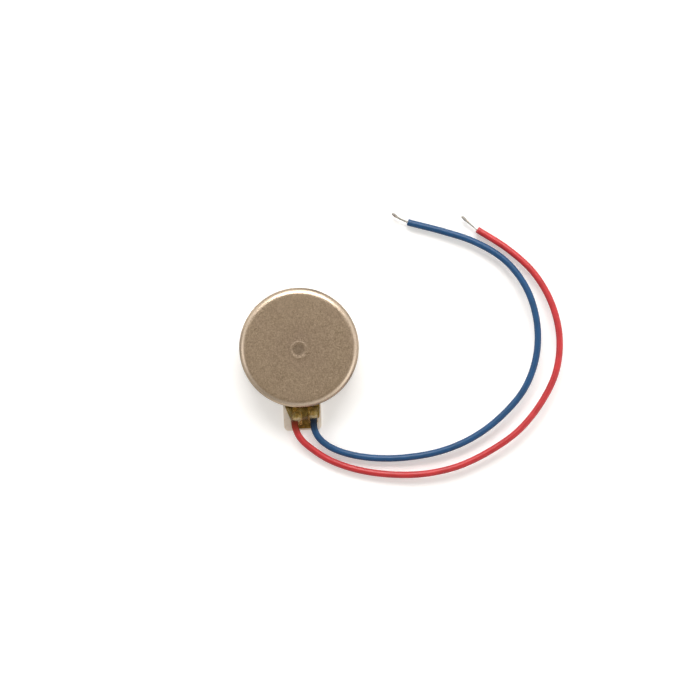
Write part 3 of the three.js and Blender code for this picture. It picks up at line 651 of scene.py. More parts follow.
def tinned():
    m = Mat("tinned_copper")
    grain = m.noise(16.0, 4.0, 0.6)
    patch = m.noise(3.2, 3.0, 0.5)
    col = m.mix(m.remap(patch, 0.58, 0.78), (0.62, 0.60, 0.56), (0.66, 0.42, 0.28))
    # beside the joints the strands are filled with solder under a skin of flux, with a faint painted glow (emission)
    # for their pale glint
    solder_fill_and_glow = m.math("MULTIPLY", m.remap(m.x, 2.0, 2.6, 1.0, 0.0), m.remap(m.y, -6.5, -6.2))
    col = m.mix(m.math("MULTIPLY", solder_fill_and_glow, 0.9), col, (0.98, 0.87, 0.66))
    col = m.mix(1.0, col, m.grey(m.remap(grain, 0.3, 0.7, 0.85, 1.06)), "MULTIPLY")
    m.set(Base_Color=col, Metallic=m.remap(solder_fill_and_glow, 0.0, 1.0, 1.0, 0.15), Roughness=m.remap(grain, 0.3, 0.7, 0.22, 0.4), Emission_Color=(1.0, 0.85, 0.62, 1.0), Emission_Strength=m.math("MULTIPLY", solder_fill_and_glow, 0.11))
    m.bump(grain, 0.003, 0.6)
    return m.m


def foam():
    m = Mat("adhesive_pad")
    cell = m.voronoi(9.0)
    weave = m.noise(12.0, 4.0, 0.6)
    col = m.mix(m.remap(weave, 0.3, 0.7), (0.74, 0.71, 0.64), (0.88, 0.86, 0.80))
    m.set(Base_Color=col, Roughness=0.75, Specular_IOR_Level=0.35)
    m.bump(m.math("ADD", cell, weave), 0.02, 0.6)
    return m.m


M_CASE = case_steel()
M_BRACKET = bracket_steel_painted_glow()
M_FILM = film_amber()
M_GOLD = gold_copper()
M_SOLDER = solder_metal()
M_RESIN = amber_resin()
M_RED = insulation("red_insulation", srgb(180, 22, 30), srgb(200, 34, 42), RED["run"][0], (0.165, 0.027, 0.004), 0.85)
M_BLUE = insulation("blue_insulation", srgb(0, 64, 108), srgb(4, 74, 124), BLUE["run"][0], (0.010, 0.010, 0.011), 0.62)
M_TIN = tinned()
M_FOAM = foam()

# ------------------------------------------------------------------ case cover


def case_cover():
    R, top, base, c = CASE_R, CASE_TOP, CASE_BASE, CORNER_R
    k = c - WALL
    # coined dimple: shallow dish inside a low rolled lip
    outer = [(0.0, top - 0.0115), (0.2, top - 0.0114), (0.32, top - 0.0111), (0.4, top - 0.0101), (0.45, top - 0.0084), (0.49, top - 0.0058)]
    outer += [(0.53, top - 0.0020), (0.57, top + 0.0019), (0.61, top + 0.0054), (0.64, top + 0.0075), (0.665, top + 0.0083), (0.69, top + 0.0076), (0.72, top + 0.0052), (0.755, top + 0.0021), (0.8, top)]
    outer += [(r, top) for r in (1.0, 1.6, 2.4, 3.2, 3.9)]
    # the drawn corner eases into the face and the wall instead of meeting them as a plain arc
    for i in range(0, 33):
        a = math.radians(90 - 90 * i / 32)
        s, n = SHOULDER, 2 / 2.3
        outer.append((R - s + s * math.cos(a) ** n, top - s + s * math.sin(a) ** n) if 0 < i < 32 else ((R - s, top) if i == 0 else (R, top - s)))
    outer += [(R, z) for z in (2.4, 1.8, 1.2, 0.7, base + 0.16)]
    outer += [(R - 0.004, base + 0.09), (R - 0.02, base + 0.035), (R - 0.055, base + 0.006), (R - 0.09, base)]
    outer += [(R - WALL + 0.04, base), (R - WALL + 0.008, base + 0.012), (R - WALL, base + 0.045)]
    outer += [(R - WALL, z) for z in (0.7, 1.2, 1.8, 2.4)]
    for i in range(0, 10):
        a = math.radians(10 * i)
        outer.append((R - c + k * math.cos(a), top - c + k * math.sin(a)))
    outer += [(r, top - WALL) for r in (3.9, 3.2, 2.4, 1.6, 1.0)]
    outer += [(0.80, top - WALL), (0.76, top - WALL - 0.005), (0.72, top - WALL - 0.022), (0.68, top - WALL - 0.042), (0.63, top - WALL - 0.053), (0.55, top - WALL - 0.057), (0.0, top - WALL - 0.058)]
    stakes = [math.radians(d) for d in (25, 90, 155, 205, 335)]

    def warp(r, z, a):
        # staking marks press the rim onto the bracket: shallow hollows in the outside of the wall
        if r > R - WALL / 2 and z < base + 0.62:
            for s in stakes:
                d = abs((a - s + math.pi) % (2 * math.pi) - math.pi) * R / 0.34
                v = (z - (base + 0.2)) / 0.26
                q = d * d + v * v
                if q < 1:
                    return r - 0.07 * (1 - q) ** 1.5, z
        return r, z

    bm = bmesh.new()
    fine = []
    for (r0, z0), (r1, z1) in zip(outer, outer[1:]):
        fine.append((r0, z0))
        if abs(r0 - R) < 1e-6 and abs(r1 - R) < 1e-6 and z0 < 1.3:
            n = 6
            fine += [(r0, z0 + (z1 - z0) * q / n) for q in range(1, n)]
    fine.append(outer[-1])
    lathe(bm, fine, 288, warp=warp)
    for v in bm.verts:
        w = min(1.0, max(0.0, (2.4 - math.hypot(v.co.x, v.co.y)) / 1.5))
        v.co.y += DIMPLE_Y * w * w * (3 - 2 * w)
    notch = box_bm(-NOTCH_W, NOTCH_W, -5.6, -4.2, -0.5, NOTCH_Z)
    bmesh.ops.bevel(notch, geom=[e for e in notch.edges if abs((e.verts[0].co - e.verts[1].co).y) > 0.5 and min(e.verts[0].co.z, e.verts[1].co.z) > 0.5], offset=0.12, segments=5, affect="EDGES", profile=0.5)
    bm = boolean(bm, notch)
    return finish_mesh("case_cover_shell", bm, 30)


give(case_cover(), M_CASE, "case_steel", "stator", "case_cover")

# ------------------------------------------------------------------ bracket, film, traces


def bracket():
    z0, z1 = plate_lo[2], film_lo[2] - 0.01
    a0 = math.asin(TAB_W / PLATE_R)
    loop = []
    n = 160
    for i in range(n + 1):
        a = -math.pi / 2 + a0 + (2 * math.pi - 2 * a0) * i / n
        loop.append((PLATE_R * math.cos(a), PLATE_R * math.sin(a)))
    tab = fillet([(-TAB_W, -4.4, 0), (-TAB_W, TAB_Y, 0.4), (TAB_W, TAB_Y, 0.4), (TAB_W, -4.4, 0)], 9)
    loop += tab
    hole = [(0.408 * math.cos(2 * math.pi * i / 48), 0.408 * math.sin(2 * math.pi * i / 48)) for i in range(48)]
    bm = plate("bracket", [loop, hole], z0, z1, 0.03, resolution=2)
    return bm, z0, z1


def bracket_object():
    bm, z0, z1 = bracket()
    # the burring round the shaft
    collar = bmesh.new()
    top = plate_hi[2]
    prof = [(0.408, z0 + 0.05), (0.408, top - 0.03), (0.43, top), (0.83, top), (0.855, top - 0.025), (0.86, top - 0.05), (0.86, z1 + 0.16), (0.87, z1 + 0.09), (0.90, z1 + 0.04), (0.955, z1 + 0.006), (0.98, z1 - 0.004), (0.98, z0 + 0.05)]
    lathe(collar, prof, 96, closed=True)
    bm = boolean(bm, collar, "UNION")
    return finish_mesh("bracket_plate", bm, 30)


give(bracket_object(), M_BRACKET, "bracket_steel", "stator", "bracket")

TONGUE = [(-1.42, -4.98, 0), (-1.0, -6.1, 0.25), (-0.92, -6.84, 0.14), (1.16, -6.84, 0.14), (1.22, -6.16, 0.16), (1.44, -5.9, 0.16), (1.5, -4.98, 0)]


def film():
    z0, z1 = film_lo[2], film_hi[2]
    R = 4.3
    n = 150
    a_l, a_r = math.atan2(-4.05, -1.45), math.atan2(-4.05, 1.5)
    loop = []
    for i in range(n + 1):
        a = a_r + (2 * math.pi + a_l - a_r) * i / n
        loop.append((R * math.cos(a), R * math.sin(a)))
    loop += fillet([(-1.45, -4.1, 0), *TONGUE, (1.5, -4.1, 0)], 7)
    hole = [(math.cos(2 * math.pi * i / 64), math.sin(2 * math.pi * i / 64)) for i in range(64)]
    bm = plate("film", [loop, hole], z0, z1, 0.012, resolution=1)
    return finish_mesh("flex_circuit_film", bm, 30)


give(film(), M_FILM, "polyimide_film", "stator", "flex_circuit")

PAD_W, PAD_L = 0.74, 1.1
RED_X, BLUE_X = -0.4, 0.9


def trace(name, side, x0, y0):
    z0, z1 = trace_lo[2], trace_hi[2]
    run, x, outer, inner_r = 0.16, side * 0.62, 1.72, 1.12
    inn, far = x - side * run, x + side * run
    at = lambda px: 270 + math.degrees(math.asin(px / outer))
    arc = lambda r, a, b, k: [(r * math.cos(math.radians(a + (b - a) * i / k)), r * math.sin(math.radians(a + (b - a) * i / k)), 0) for i in range(k + 1)]
    pts = [(x0 - side * PAD_W / 2, y0 - PAD_L / 2, 0.09), (x0 - side * PAD_W / 2, y0 + PAD_L / 2, 0.09), (inn, y0 + PAD_L / 2 + 0.2, 0.12)]
    pts += arc(outer, at(inn), 270 + side * 11, 3) + arc(inner_r, 270 + side * 11, 270 + side * 41, 12) + arc(outer, 270 + side * 41, at(far), 8)
    pts += [(far, y0 + PAD_L / 2 + 0.2, 0.12), (x0 + side * PAD_W / 2, y0 + PAD_L / 2, 0.09), (x0 + side * PAD_W / 2, y0 - PAD_L / 2, 0.09)]
    bm = plate(name, [fillet(pts, 6)], z0, z1, 0.006, resolution=1)
    return finish_mesh(name, bm, 30)


give(trace("positive_trace_foil", -1, RED_X, -6.0), M_GOLD, "gold_plated_copper", "stator", "positive_trace")
give(trace("negative_trace_foil", 1, BLUE_X, -5.85), M_GOLD, "gold_plated_copper", "stator", "negative_trace")


def pad():
    z0, z1 = pad_lo[2], pad_hi[2]
    bm = bmesh.new()
    R = pad_hi[0]
    prof = [(0, z0), (R - 0.03, z0), (R - 0.008, z0 + 0.01), (R, z0 + 0.03), (R - 0.012, (z0 + z1) / 2), (R, z1 - 0.03), (R - 0.008, z1 - 0.01), (R - 0.03, z1), (0, z1)]
    lathe(bm, prof, 160)
    return finish_mesh("adhesive_pad_disc", bm, 30)


give(pad(), M_FOAM, "adhesive_pad", "stator", "adhesive_pad")

# ------------------------------------------------------------------ leads


def lead(name, spec, colour_mat, colour_slot, phase):
    path = Path(spec["joint"] + spec["run"] + spec["tip"])
    s0, s1 = path.near(spec["run"][0]), path.near(spec["run"][-1])
    sides, steps = 36, 300
    # sleeve: outside, rolled cut ends, bore
    rings = []

    def ring(s, r, lift=0.0, ragged=0.0):
        c, t, n, b = path.at(s)
        out = []
        for j in range(sides):
            a = 2 * math.pi * j / sides
            w = noise.noise(Vector((s * 0.9 + phase, math.cos(a) * 0.6, math.sin(a) * 0.6)))
            rr = r * (1 + 0.012 * w) if r > 0.2 else r
            q = c + (n * math.cos(a) + b * math.sin(a)) * rr
            q += t * (lift + ragged * noise.noise(Vector((math.cos(a) * 2.2 + phase, math.sin(a) * 2.2, s))))
            out.append(tuple(q))
        return out

    R, bore = WIRE_R, 0.125
    rings.append(ring(s0, bore, 0.0, 0.02))
    rings.append(ring(s0, R - 0.05, 0.0, 0.03))
    rings.append(ring(s0, R - 0.015, 0.012, 0.03))
    rings.append(ring(s0 + 0.03, R))
    for k in range(1, steps):
        rings.append(ring(s0 + 0.03 + (s1 - s0 - 0.07) * k / steps, R))
    rings.append(ring(s1 - 0.03, R))
    rings.append(ring(s1, R - 0.012, -0.008, 0.05))
    rings.append(ring(s1, R - 0.04, 0.012, 0.05))
    rings.append(ring(s1, bore + 0.03, 0.004, 0.04))
    rings.append(ring(s1 - 0.03, bore))
    for k in range(1, 60):
        rings.append(ring(s1 - 0.03 - (s1 - s0 - 0.05) * k / 60, bore))
    bm = bmesh.new()
    m = sides
    verts = [p for r in rings for p in r]
    faces = []
    for i in range(len(rings)):
        i2 = (i + 1) % len(rings)
        for j in range(m):
            k = (j + 1) % m
            faces.append((i * m + j, i * m + k, i2 * m + k, i2 * m + j))
    add(bm, verts, faces)
    sleeve = finish_mesh(name + "_lead_sleeve", bm, 40)
    give(sleeve, colour_mat, colour_slot, "stator", name + "_lead_insulation")

    # core: seven twisted strands, tinned together at the stripped tip
    bm = bmesh.new()
    lay, strand = 1.9, 0.0385
    length = path.length
    for q in range(7):
        rings = []
        n_steps = 420
        for k in range(n_steps + 1):
            s = length * k / n_steps
            c, t, n, b = path.at(s)
            out_of = s - s1
            frac = max(0.0, out_of / (length - s1))
            ease = min(1.0, frac / 0.12)
            end = max(0.0, min(1.0, (frac - 0.3) / 0.6))
            end = end * end * (3 - 2 * end)
            body = 1.0 - 0.34 * ease * (1 - end)
            spread = 0.0765 * body + (0.008 * math.sin(frac * math.pi) * (0.4 + 0.6 * noise.noise(Vector((q * 3.1, phase, 0.2)))) if frac > 0 else 0.0)
            a = 2 * math.pi * (s / lay) + q * math.pi / 3 + phase
            off = (n * math.cos(a) + b * math.sin(a)) * (0.0 if q == 6 else spread)
            # one strand stands off by a hair
            if frac > 0:
                off += (n * 0.03 + b * 0.02) * (frac ** 2) * (1.0 if q == 2 else 0.0)
            centre = c + off
            r = strand * body * (0.25 if k in (0, n_steps) else 1.0)
            ring_ = []
            for j in range(8):
                g = 2 * math.pi * j / 8
                ring_.append(tuple(centre + (n * math.cos(g) + b * math.sin(g)) * r))
            rings.append(ring_)
        tube(bm, rings)
    # tin skin over the last stretch of the strands
    tin0 = length - 0.74
    rings = []
    for k in range(19):
        f = k / 18
        s = tin0 + (length - 0.05 - tin0) * f
        c, t, n, b = path.at(s)
        r0 = 0.138 * (0.55 + 0.45 * min(1.0, f / 0.6)) * math.sin(math.pi * min(1.0, max(0.02, 0.08 + f * 0.86))) ** 0.38
        rr = []
        for j in range(20):
            g = 2 * math.pi * j / 20
            lobes = 1 + 0.07 * math.cos(6 * (g - 2 * math.pi * s / lay) + phase) * (1 - f) + 0.05 * noise.noise(Vector((math.cos(g), math.sin(g), s * 3)))
            rr.append(tuple(c + (n * math.cos(g) + b * math.sin(g)) * r0 * lobes))
        rings.append(rr)
    tube(bm, rings)
    core = finish_mesh(name + "_lead_core", bm, 40)
    give(core, M_TIN, "tinned_copper", "stator", name + "_lead_conductor")
    return path, s0, s1


red_path, red_s0, red_s1 = lead("red", RED, M_RED, "red_insulation", 0.4)
blue_path, blue_s0, blue_s1 = lead("blue", BLUE, M_BLUE, "blue_insulation", 2.1)

# ------------------------------------------------------------------ solder joints


def solder(name, x0, path, s0, phase):
    low, high = mm(name)
    z0 = low[2]
    y0 = (low[1] + high[1]) / 2
    bm = bmesh.new()
    rings, M, K = [], 56, 22
    for k in range(K + 1):
        f = k / K
        ring_ = []
        for j in range(M):
            a = 2 * math.pi * j / M
            wob = 1 + 0.07 * noise.noise(Vector((math.cos(a) * 1.4 + phase, math.sin(a) * 1.4, f * 1.3)))
            # wetted foot flares out, the body rises steeply, the crown is round
            q = math.cos(f * math.pi / 2)
            rad = q ** 0.55 * (0.86 + 0.14 * (1 - f) ** 3)
            z = z0 + 0.41 * (0.16 * f + 0.84 * math.sin(f * math.pi / 2) ** 1.35)
            # pulled towards the insulation, where the strands leave
            pull = 0.06 * (1 - f) * max(0.0, -math.sin(a))
            px = x0 + 0.335 * rad * wob * math.cos(a)
            py = y0 + (0.40 + pull) * rad * wob * math.sin(a) - 0.03 * f
            ring_.append((px, py, z + 0.012 * noise.noise(Vector((px * 5, py * 5, phase)))))
        rings.append(ring_)
    for p in range(M):
        rings[0][p] = (rings[0][p][0], rings[0][p][1], z0)
    tube(bm, rings)
    return finish_mesh(name + "_dome", bm, 50)


give(solder("red_solder_joint", RED_X - 0.02, red_path, red_s0, 1.3), M_SOLDER, "solder", "stator", "red_solder_joint")
give(solder("blue_solder_joint", BLUE_X + 0.02, blue_path, blue_s0, 4.2), M_SOLDER, "solder", "stator", "blue_solder_joint")

# ------------------------------------------------------------------ resin over the joints


def resin():
    """A cured bead: a height field over the tab that wets the case wall, the solder and the ends of the insulation."""
    outline = fillet([(-1.36, -4.98, 0.05), (-1.24, -5.3, 0.25), (-1.04, -6.0, 0.25), (-0.96, -6.52, 0.2), (-0.42, -6.6, 0.16), (-0.12, -6.22, 0.22), (0.44, -6.12, 0.22), (0.70, -6.44, 0.16), (1.18, -6.42, 0.14), (1.36, -5.86, 0.3), (1.46, -5.3, 0.3), (1.44, -4.98, 0.05)], 8)
    poly = resample(outline, 0.045)
    P = np.array(poly)
    Q = np.roll(P, -1, axis=0)

    def inside_distance(x, y):
        d = Q - P
        w = np.array([x, y]) - P
        t = np.clip((w * d).sum(1) / np.maximum(1e-12, (d * d).sum(1)), 0, 1)
        dist = np.sqrt(((w - d * t[:, None]) ** 2).sum(1)).min()
        cond = (P[:, 1] > y) != (Q[:, 1] > y)
        with np.errstate(divide="ignore", invalid="ignore"):
            xs = P[:, 0] + (y - P[:, 1]) / (Q[:, 1] - P[:, 1]) * (Q[:, 0] - P[:, 0])
        return dist if (np.sum(cond & (x < xs)) % 2) else -dist

    z_base = film_hi[2] + 0.004
    samples = []
    for path, s0 in ((red_path, red_s0), (blue_path, blue_s0)):
        for k in range(60):
            s = s0 - 0.5 + k * 0.03
            c = path.at(s)[0]
            samples.append((c.x, c.y, c.z, s - s0))
    W = np.array(samples)
    OPEN = [path.at(s0 - 0.13)[0] for path, s0 in ((red_path, red_s0), (blue_path, blue_s0))]

    def height(x, y, d):
        edge = 1 - math.exp(-d / 0.13)
        h = 0.30 + 0.05 * noise.noise(Vector((x * 1.6, y * 1.6, 3.0)))
        h *= edge
        for c in OPEN:
            h -= 0.22 * math.exp(-((x - c.x) ** 2 + (y - c.y) ** 2) / 0.06)
        wall = math.hypot(x, y) - CASE_R
        h += 0.20 * math.exp(-max(0.0, wall) / 0.16) * min(1.0, d / 0.05 + 0.2)
        # film over the insulation and strands
        r2 = (W[:, 0] - x) ** 2 + (W[:, 1] - y) ** 2
        # thick over the solder, open where the strands enter it, a skin over the insulation
        R = np.where(W[:, 3] > -0.03, WIRE_R + 0.018, np.where(W[:, 3] > -0.27, 0.12, WIRE_R + 0.03))
        over = np.where(r2 < R * R, W[:, 2] + np.sqrt(np.maximum(0, R * R - r2)), 0.0)
        fade = 1 / (1 + np.exp((W[:, 3] - 0.30) / 0.05))
        k = int(np.argmin(r2))
        near = max(0.0, 1 - math.sqrt(r2[k]) / 0.62)
        top = float((over * fade).max())
        wet = W[k, 2] + 0.02 - z_base
        h = max(h, h + (wet - h) * near ** 1.5 * float(fade[k]))
        if top > 0:
            h = max(h, (top - z_base) * min(1.0, d / 0.08 + 0.15))
        return z_base + max(0.012, h)

    # a regular grid trimmed to the outline, with its rim snapped onto it
    step = 0.04
    x0, x1 = P[:, 0].min() - step, P[:, 0].max() + step
    y0, y1 = P[:, 1].min() - step, P[:, 1].max() + step
    nx, ny = int((x1 - x0) / step) + 1, int((y1 - y0) / step) + 1
    D = np.array([[inside_distance(x0 + i * step, y0 + j * step) for j in range(ny)] for i in range(nx)])
    bm = bmesh.new()
    tops, rim = {}, {}
    from mathutils.geometry import delaunay_2d_cdt
    pts = [Vector(p) for p in poly]
    edges = [(i, (i + 1) % len(pts)) for i in range(len(pts))]
    for i in range(nx):
        for j in range(ny):
            if D[i, j] > step * 0.55:
                pts.append(Vector((x0 + i * step, y0 + j * step)))
    v2, e2, f2, _, _, _ = delaunay_2d_cdt(pts, edges, [list(range(len(poly)))], 1, 1e-6)
    n_rim = len(poly)
    top_v, bot_v = [], []
    for k, p in enumerate(v2):
        d = 0.0 if k < n_rim else max(0.0, inside_distance(p.x, p.y))
        z = z_base + 0.006 if k < n_rim else height(p.x, p.y, d)
        top_v.append((p.x, p.y, z))
        bot_v.append((p.x, p.y, z_base))
    verts = top_v + bot_v
    n = len(top_v)
    faces = [tuple(f) for f in f2] + [tuple(n + i for i in reversed(f)) for f in f2]
    for i in range(n_rim):
        j = (i + 1) % n_rim
        faces.append((i, j, n + j, n + i))
    add(bm, verts, faces)
    for _ in range(3):
        up = [v for v in bm.verts if v.co.z > z_base + 0.02]
        bmesh.ops.smooth_vert(bm, verts=up, factor=0.4, use_axis_x=False, use_axis_y=False, use_axis_z=True)
    return finish_mesh("joint_adhesive_bead", bm, 60)


give(resin(), M_RESIN, "joint_adhesive", "stator", "joint_adhesive")

# ------------------------------------------------------------------ materials of the inner parts


def shaft_steel():
    m = Mat("shaft_steel")
    ground = m.noise(1.0, 4.0, 0.7, p=m.scaled(0.6, 0.6, 46.0))
    cloud = m.noise(1.6, 3.0, 0.5)
    col = m.mix(m.remap(cloud, 0.3, 0.7), (0.66, 0.665, 0.67), (0.78, 0.78, 0.775))
    col = m.mix(1.0, col, m.grey(m.remap(ground, 0.3, 0.7, 0.86, 1.05)), "MULTIPLY")
    m.set(Base_Color=col, Metallic=1.0, Roughness=m.remap(ground, 0.3, 0.7, 0.12, 0.26))
    m.bump(ground, 0.002, 0.6)
    return m.m


def magnet_nickel():
    m = Mat("magnet_nickel")
    grain = m.noise(11.0, 5.0, 0.65)
    cloud = m.noise(0.9, 3.0, 0.5, distortion=0.5)
    chip = m.remap(m.noise(4.0, 5.0, 0.7), 0.68, 0.74)
    col = m.mix(m.remap(cloud, 0.3, 0.7), (0.60, 0.585, 0.55), (0.72, 0.705, 0.67))
    col = m.mix(m.math("MULTIPLY", chip, 0.5), col, (0.30, 0.28, 0.27))
    col = m.mix(1.0, col, m.grey(m.remap(grain, 0.3, 0.7, 0.88, 1.04)), "MULTIPLY")
    m.set(Base_Color=col, Metallic=1.0, Roughness=m.remap(grain, 0.3, 0.7, 0.24, 0.42))
    m.bump(m.math("ADD", grain, m.math("MULTIPLY", chip, -0.5)), 0.006, 0.5)
    return m.m


def brush_alloy():
    m = Mat("brush_alloy")
    arc = m.math("MULTIPLY", m.polar(), 1.4)
    roll = m.noise(1.0, 3.0, 0.6, p=m.vec(m.math("MULTIPLY", arc, 1.2), m.math("MULTIPLY", m.radius(), 30.0), 0.0))
    tip = m.remap(m.z, brush_hi[2] - 0.16, brush_hi[2], 0.0, 1.0, smooth=True)
    col = m.mix(m.remap(roll, 0.3, 0.7), (0.78, 0.62, 0.33), (0.90, 0.75, 0.44))
    col = m.mix(m.math("MULTIPLY", tip, 0.6), col, (0.62, 0.52, 0.40))
    m.set(Base_Color=col, Metallic=1.0, Roughness=m.math("ADD", m.remap(roll, 0.3, 0.7, 0.2, 0.32), m.math("MULTIPLY", tip, 0.14)))
    m.bump(roll, 0.002, 0.5)
    return m.m


def washer_film():
    m = Mat("washer_film")
    scuff = m.noise(1.0, 4.0, 0.6, p=m.vec(m.math("MULTIPLY", m.polar(), 1.0), m.math("MULTIPLY", m.radius(), 36.0), 0.0))
    spot = m.noise(7.0, 3.0, 0.6)
    col = m.mix(m.remap(spot, 0.3, 0.7), (0.014, 0.014, 0.017), (0.034, 0.033, 0.036))
    col = m.mix(m.remap(scuff, 0.55, 0.75, 0.0, 0.45), col, (0.10, 0.10, 0.10))
    m.set(Base_Color=col, Roughness=m.remap(scuff, 0.3, 0.7, 0.28, 0.5))
    m.bump(scuff, 0.003, 0.5)
    return m.m


def sintered_bronze():
    m = Mat("sintered_bronze")
    pore = m.voronoi(15.0)
    grain = m.noise(20.0, 4.0, 0.7)
    oil = m.noise(2.0, 3.0, 0.5, distortion=0.6)
    col = m.mix(m.remap(oil, 0.35, 0.7), (0.58, 0.41, 0.21), (0.40, 0.27, 0.13))
    col = m.mix(m.remap(pore, 0.0, 0.22, 0.75, 0.0), col, (0.07, 0.045, 0.02))
    col = m.mix(1.0, col, m.grey(m.remap(grain, 0.3, 0.7, 0.85, 1.08)), "MULTIPLY")
    m.set(Base_Color=col, Metallic=0.95, Roughness=m.remap(grain, 0.3, 0.7, 0.4, 0.6))
    m.bump(m.math("ADD", m.remap(pore, 0.0, 0.3), m.math("MULTIPLY", grain, 0.4)), 0.016, 0.6)
    return m.m


def board_laminate():
    m = Mat("board_laminate")
    r = m.radius()
    weave = m.math("MULTIPLY", m.math("SINE", m.math("MULTIPLY", m.x, 42.0)), m.math("SINE", m.math("MULTIPLY", m.y, 42.0)))
    mask = m.noise(2.2, 3.0, 0.5)
    col = m.mix(m.remap(mask, 0.3, 0.7), (0.010, 0.085, 0.030), (0.022, 0.135, 0.050))
    # copper under the mask shows as paler rings and spokes
    rings = m.math("SINE", m.math("MULTIPLY", r, 7.4))
    spokes = m.math("SINE", m.math("MULTIPLY", m.polar(), 9.0))
    copper = m.math("MULTIPLY", m.remap(rings, 0.35, 0.45), m.remap(spokes, -0.75, -0.65))
    col = m.mix(m.math("MULTIPLY", copper, 0.55), col, (0.050, 0.24, 0.075))
    # bare glass laminate on the cut edge
    lo, hi = board_lo[2] + 0.02, board_hi[2] - 0.02
    core = m.math("MULTIPLY", m.remap(m.z, lo, lo + 0.012), m.remap(m.z, hi - 0.012, hi, 1.0, 0.0))
    glass = m.mix(m.remap(m.noise(1.0, 3.0, 0.6, p=m.scaled(5.0, 5.0, 60.0)), 0.35, 0.65), (0.30, 0.27, 0.13), (0.50, 0.47, 0.27))
    col = m.mix(core, col, glass)
    m.set(Base_Color=col, Roughness=m.math("ADD", m.remap(mask, 0.3, 0.7, 0.24, 0.34), m.math("MULTIPLY", core, 0.4)))
    m.bump(m.math("ADD", m.math("MULTIPLY", copper, 0.8), m.math("MULTIPLY", weave, 0.10)), 0.008, 0.5)
    return m.m


def commutator_gold():
    m = Mat("commutator_gold")
    r = m.radius()
    track = m.noise(1.0, 3.0, 0.6, p=m.vec(m.math("MULTIPLY", m.polar(), 0.8), m.math("MULTIPLY", r, 44.0), 0.0))
    worn = m.math("MULTIPLY", m.remap(r, 1.10, 1.18, smooth=True), m.remap(r, 1.60, 1.68, 1.0, 0.0, smooth=True))
    grain = m.noise(16.0, 4.0, 0.6)
    col = m.mix(m.remap(grain, 0.3, 0.7), (0.86, 0.62, 0.27), (0.95, 0.72, 0.34))
    col = m.mix(m.math("MULTIPLY", worn, m.remap(track, 0.4, 0.7, 0.15, 0.7)), col, (0.62, 0.43, 0.22))
    m.set(Base_Color=col, Metallic=1.0, Roughness=m.math("ADD", m.remap(grain, 0.3, 0.7, 0.22, 0.34), m.math("MULTIPLY", worn, m.remap(track, 0.3, 0.7, -0.06, 0.1))))
    m.bump(m.math("ADD", grain, m.math("MULTIPLY", m.math("MULTIPLY", track, worn), 0.8)), 0.002, 0.7)
    return m.m


def enamelled_copper():
    m = Mat("enamelled_copper")
    turn = m.noise(3.4, 4.0, 0.6)
    along = m.noise(1.0, 2.0, 0.5, p=m.scaled(1.2, 1.2, 12.5))
    col = m.mix(m.remap(turn, 0.3, 0.7), (0.50, 0.155, 0.045), (0.82, 0.34, 0.12))
    col = m.mix(1.0, col, m.grey(m.remap(along, 0.3, 0.7, 0.74, 1.1)), "MULTIPLY")
    m.set(Base_Color=col, Metallic=0.9, Roughness=m.remap(turn, 0.3, 0.7, 0.2, 0.34), Coat_Weight=0.55, Coat_Roughness=0.12, Coat_Tint=(1.0, 0.72, 0.42, 1.0))
    m.bump(turn, 0.004, 0.5)
    return m.m


def tungsten_alloy():
    m = Mat("tungsten_alloy")
    grain = m.voronoi(22.0)
    fine = m.noise(24.0, 5.0, 0.7)
    cloud = m.noise(1.4, 3.0, 0.5)
    col = m.mix(m.remap(cloud, 0.3, 0.7), (0.23, 0.225, 0.22), (0.36, 0.35, 0.335))
    col = m.mix(1.0, col, m.grey(m.remap(grain, 0.0, 0.5, 0.7, 1.12)), "MULTIPLY")
    m.set(Base_Color=col, Metallic=1.0, Roughness=m.remap(fine, 0.3, 0.7, 0.40, 0.6))
    m.bump(m.math("ADD", grain, m.math("MULTIPLY", fine, 0.6)), 0.01, 0.6)
    return m.m


def moulding_resin():
    m = Mat("moulding_resin")
    fibre = m.noise(1.0, 4.0, 0.65, p=m.scaled(14.0, 3.0, 8.0), distortion=0.5)
    fleck = m.voronoi(13.0)
    flow = m.noise(0.8, 3.0, 0.5, distortion=1.2)
    col = m.mix(m.remap(flow, 0.3, 0.7), (0.016, 0.0145, 0.013), (0.034, 0.031, 0.028))
    col = m.mix(m.remap(fleck, 0.0, 0.08, 0.4, 0.0), col, (0.16, 0.15, 0.14))
    m.set(Base_Color=col, Roughness=m.remap(fibre, 0.3, 0.7, 0.38, 0.58))
    m.bump(m.math("ADD", fibre, m.math("MULTIPLY", flow, 0.8)), 0.01, 0.5)
    return m.m


M_SHAFT = shaft_steel()
M_MAGNET = magnet_nickel()
M_BRUSH = brush_alloy()
M_WASHER = washer_film()
M_BRONZE = sintered_bronze()
M_BOARD = board_laminate()
M_BAR = commutator_gold()
M_COIL = enamelled_copper()
M_WEIGHT = tungsten_alloy()
M_MOULD = moulding_resin()

# ------------------------------------------------------------------ fixed inner parts


def turned(name, profile, n=128, closed=False, sharp=30):
    """A turned part from an (r, z, fillet radius) outline."""
    bm = bmesh.new()
    lathe(bm, fillet(profile, 5, closed), n, closed=closed)
    return finish_mesh(name, bm, sharp)


SHAFT_R = shaft_hi[0]
give(turned("shaft_pin", [(0, shaft_lo[2], 0), (SHAFT_R - 0.05, shaft_lo[2], 0.012), (SHAFT_R, shaft_lo[2] + 0.05, 0.03), (SHAFT_R, 2.0, 0),
                          (SHAFT_R, shaft_hi[2] - 0.06, 0.03), (SHAFT_R - 0.05, shaft_hi[2], 0.02), (0, shaft_hi[2], 0)], 96), M_SHAFT, "shaft_steel", "stator", "shaft")

give(turned("ring_magnet_body", [(1.95, magnet_lo[2], 0.06), (magnet_hi[0], magnet_lo[2], 0.08), (magnet_hi[0], magnet_hi[2], 0.08), (1.95, magnet_hi[2], 0.06)], 192, True),
     M_MAGNET, "magnet_nickel", "stator", "ring_magnet")

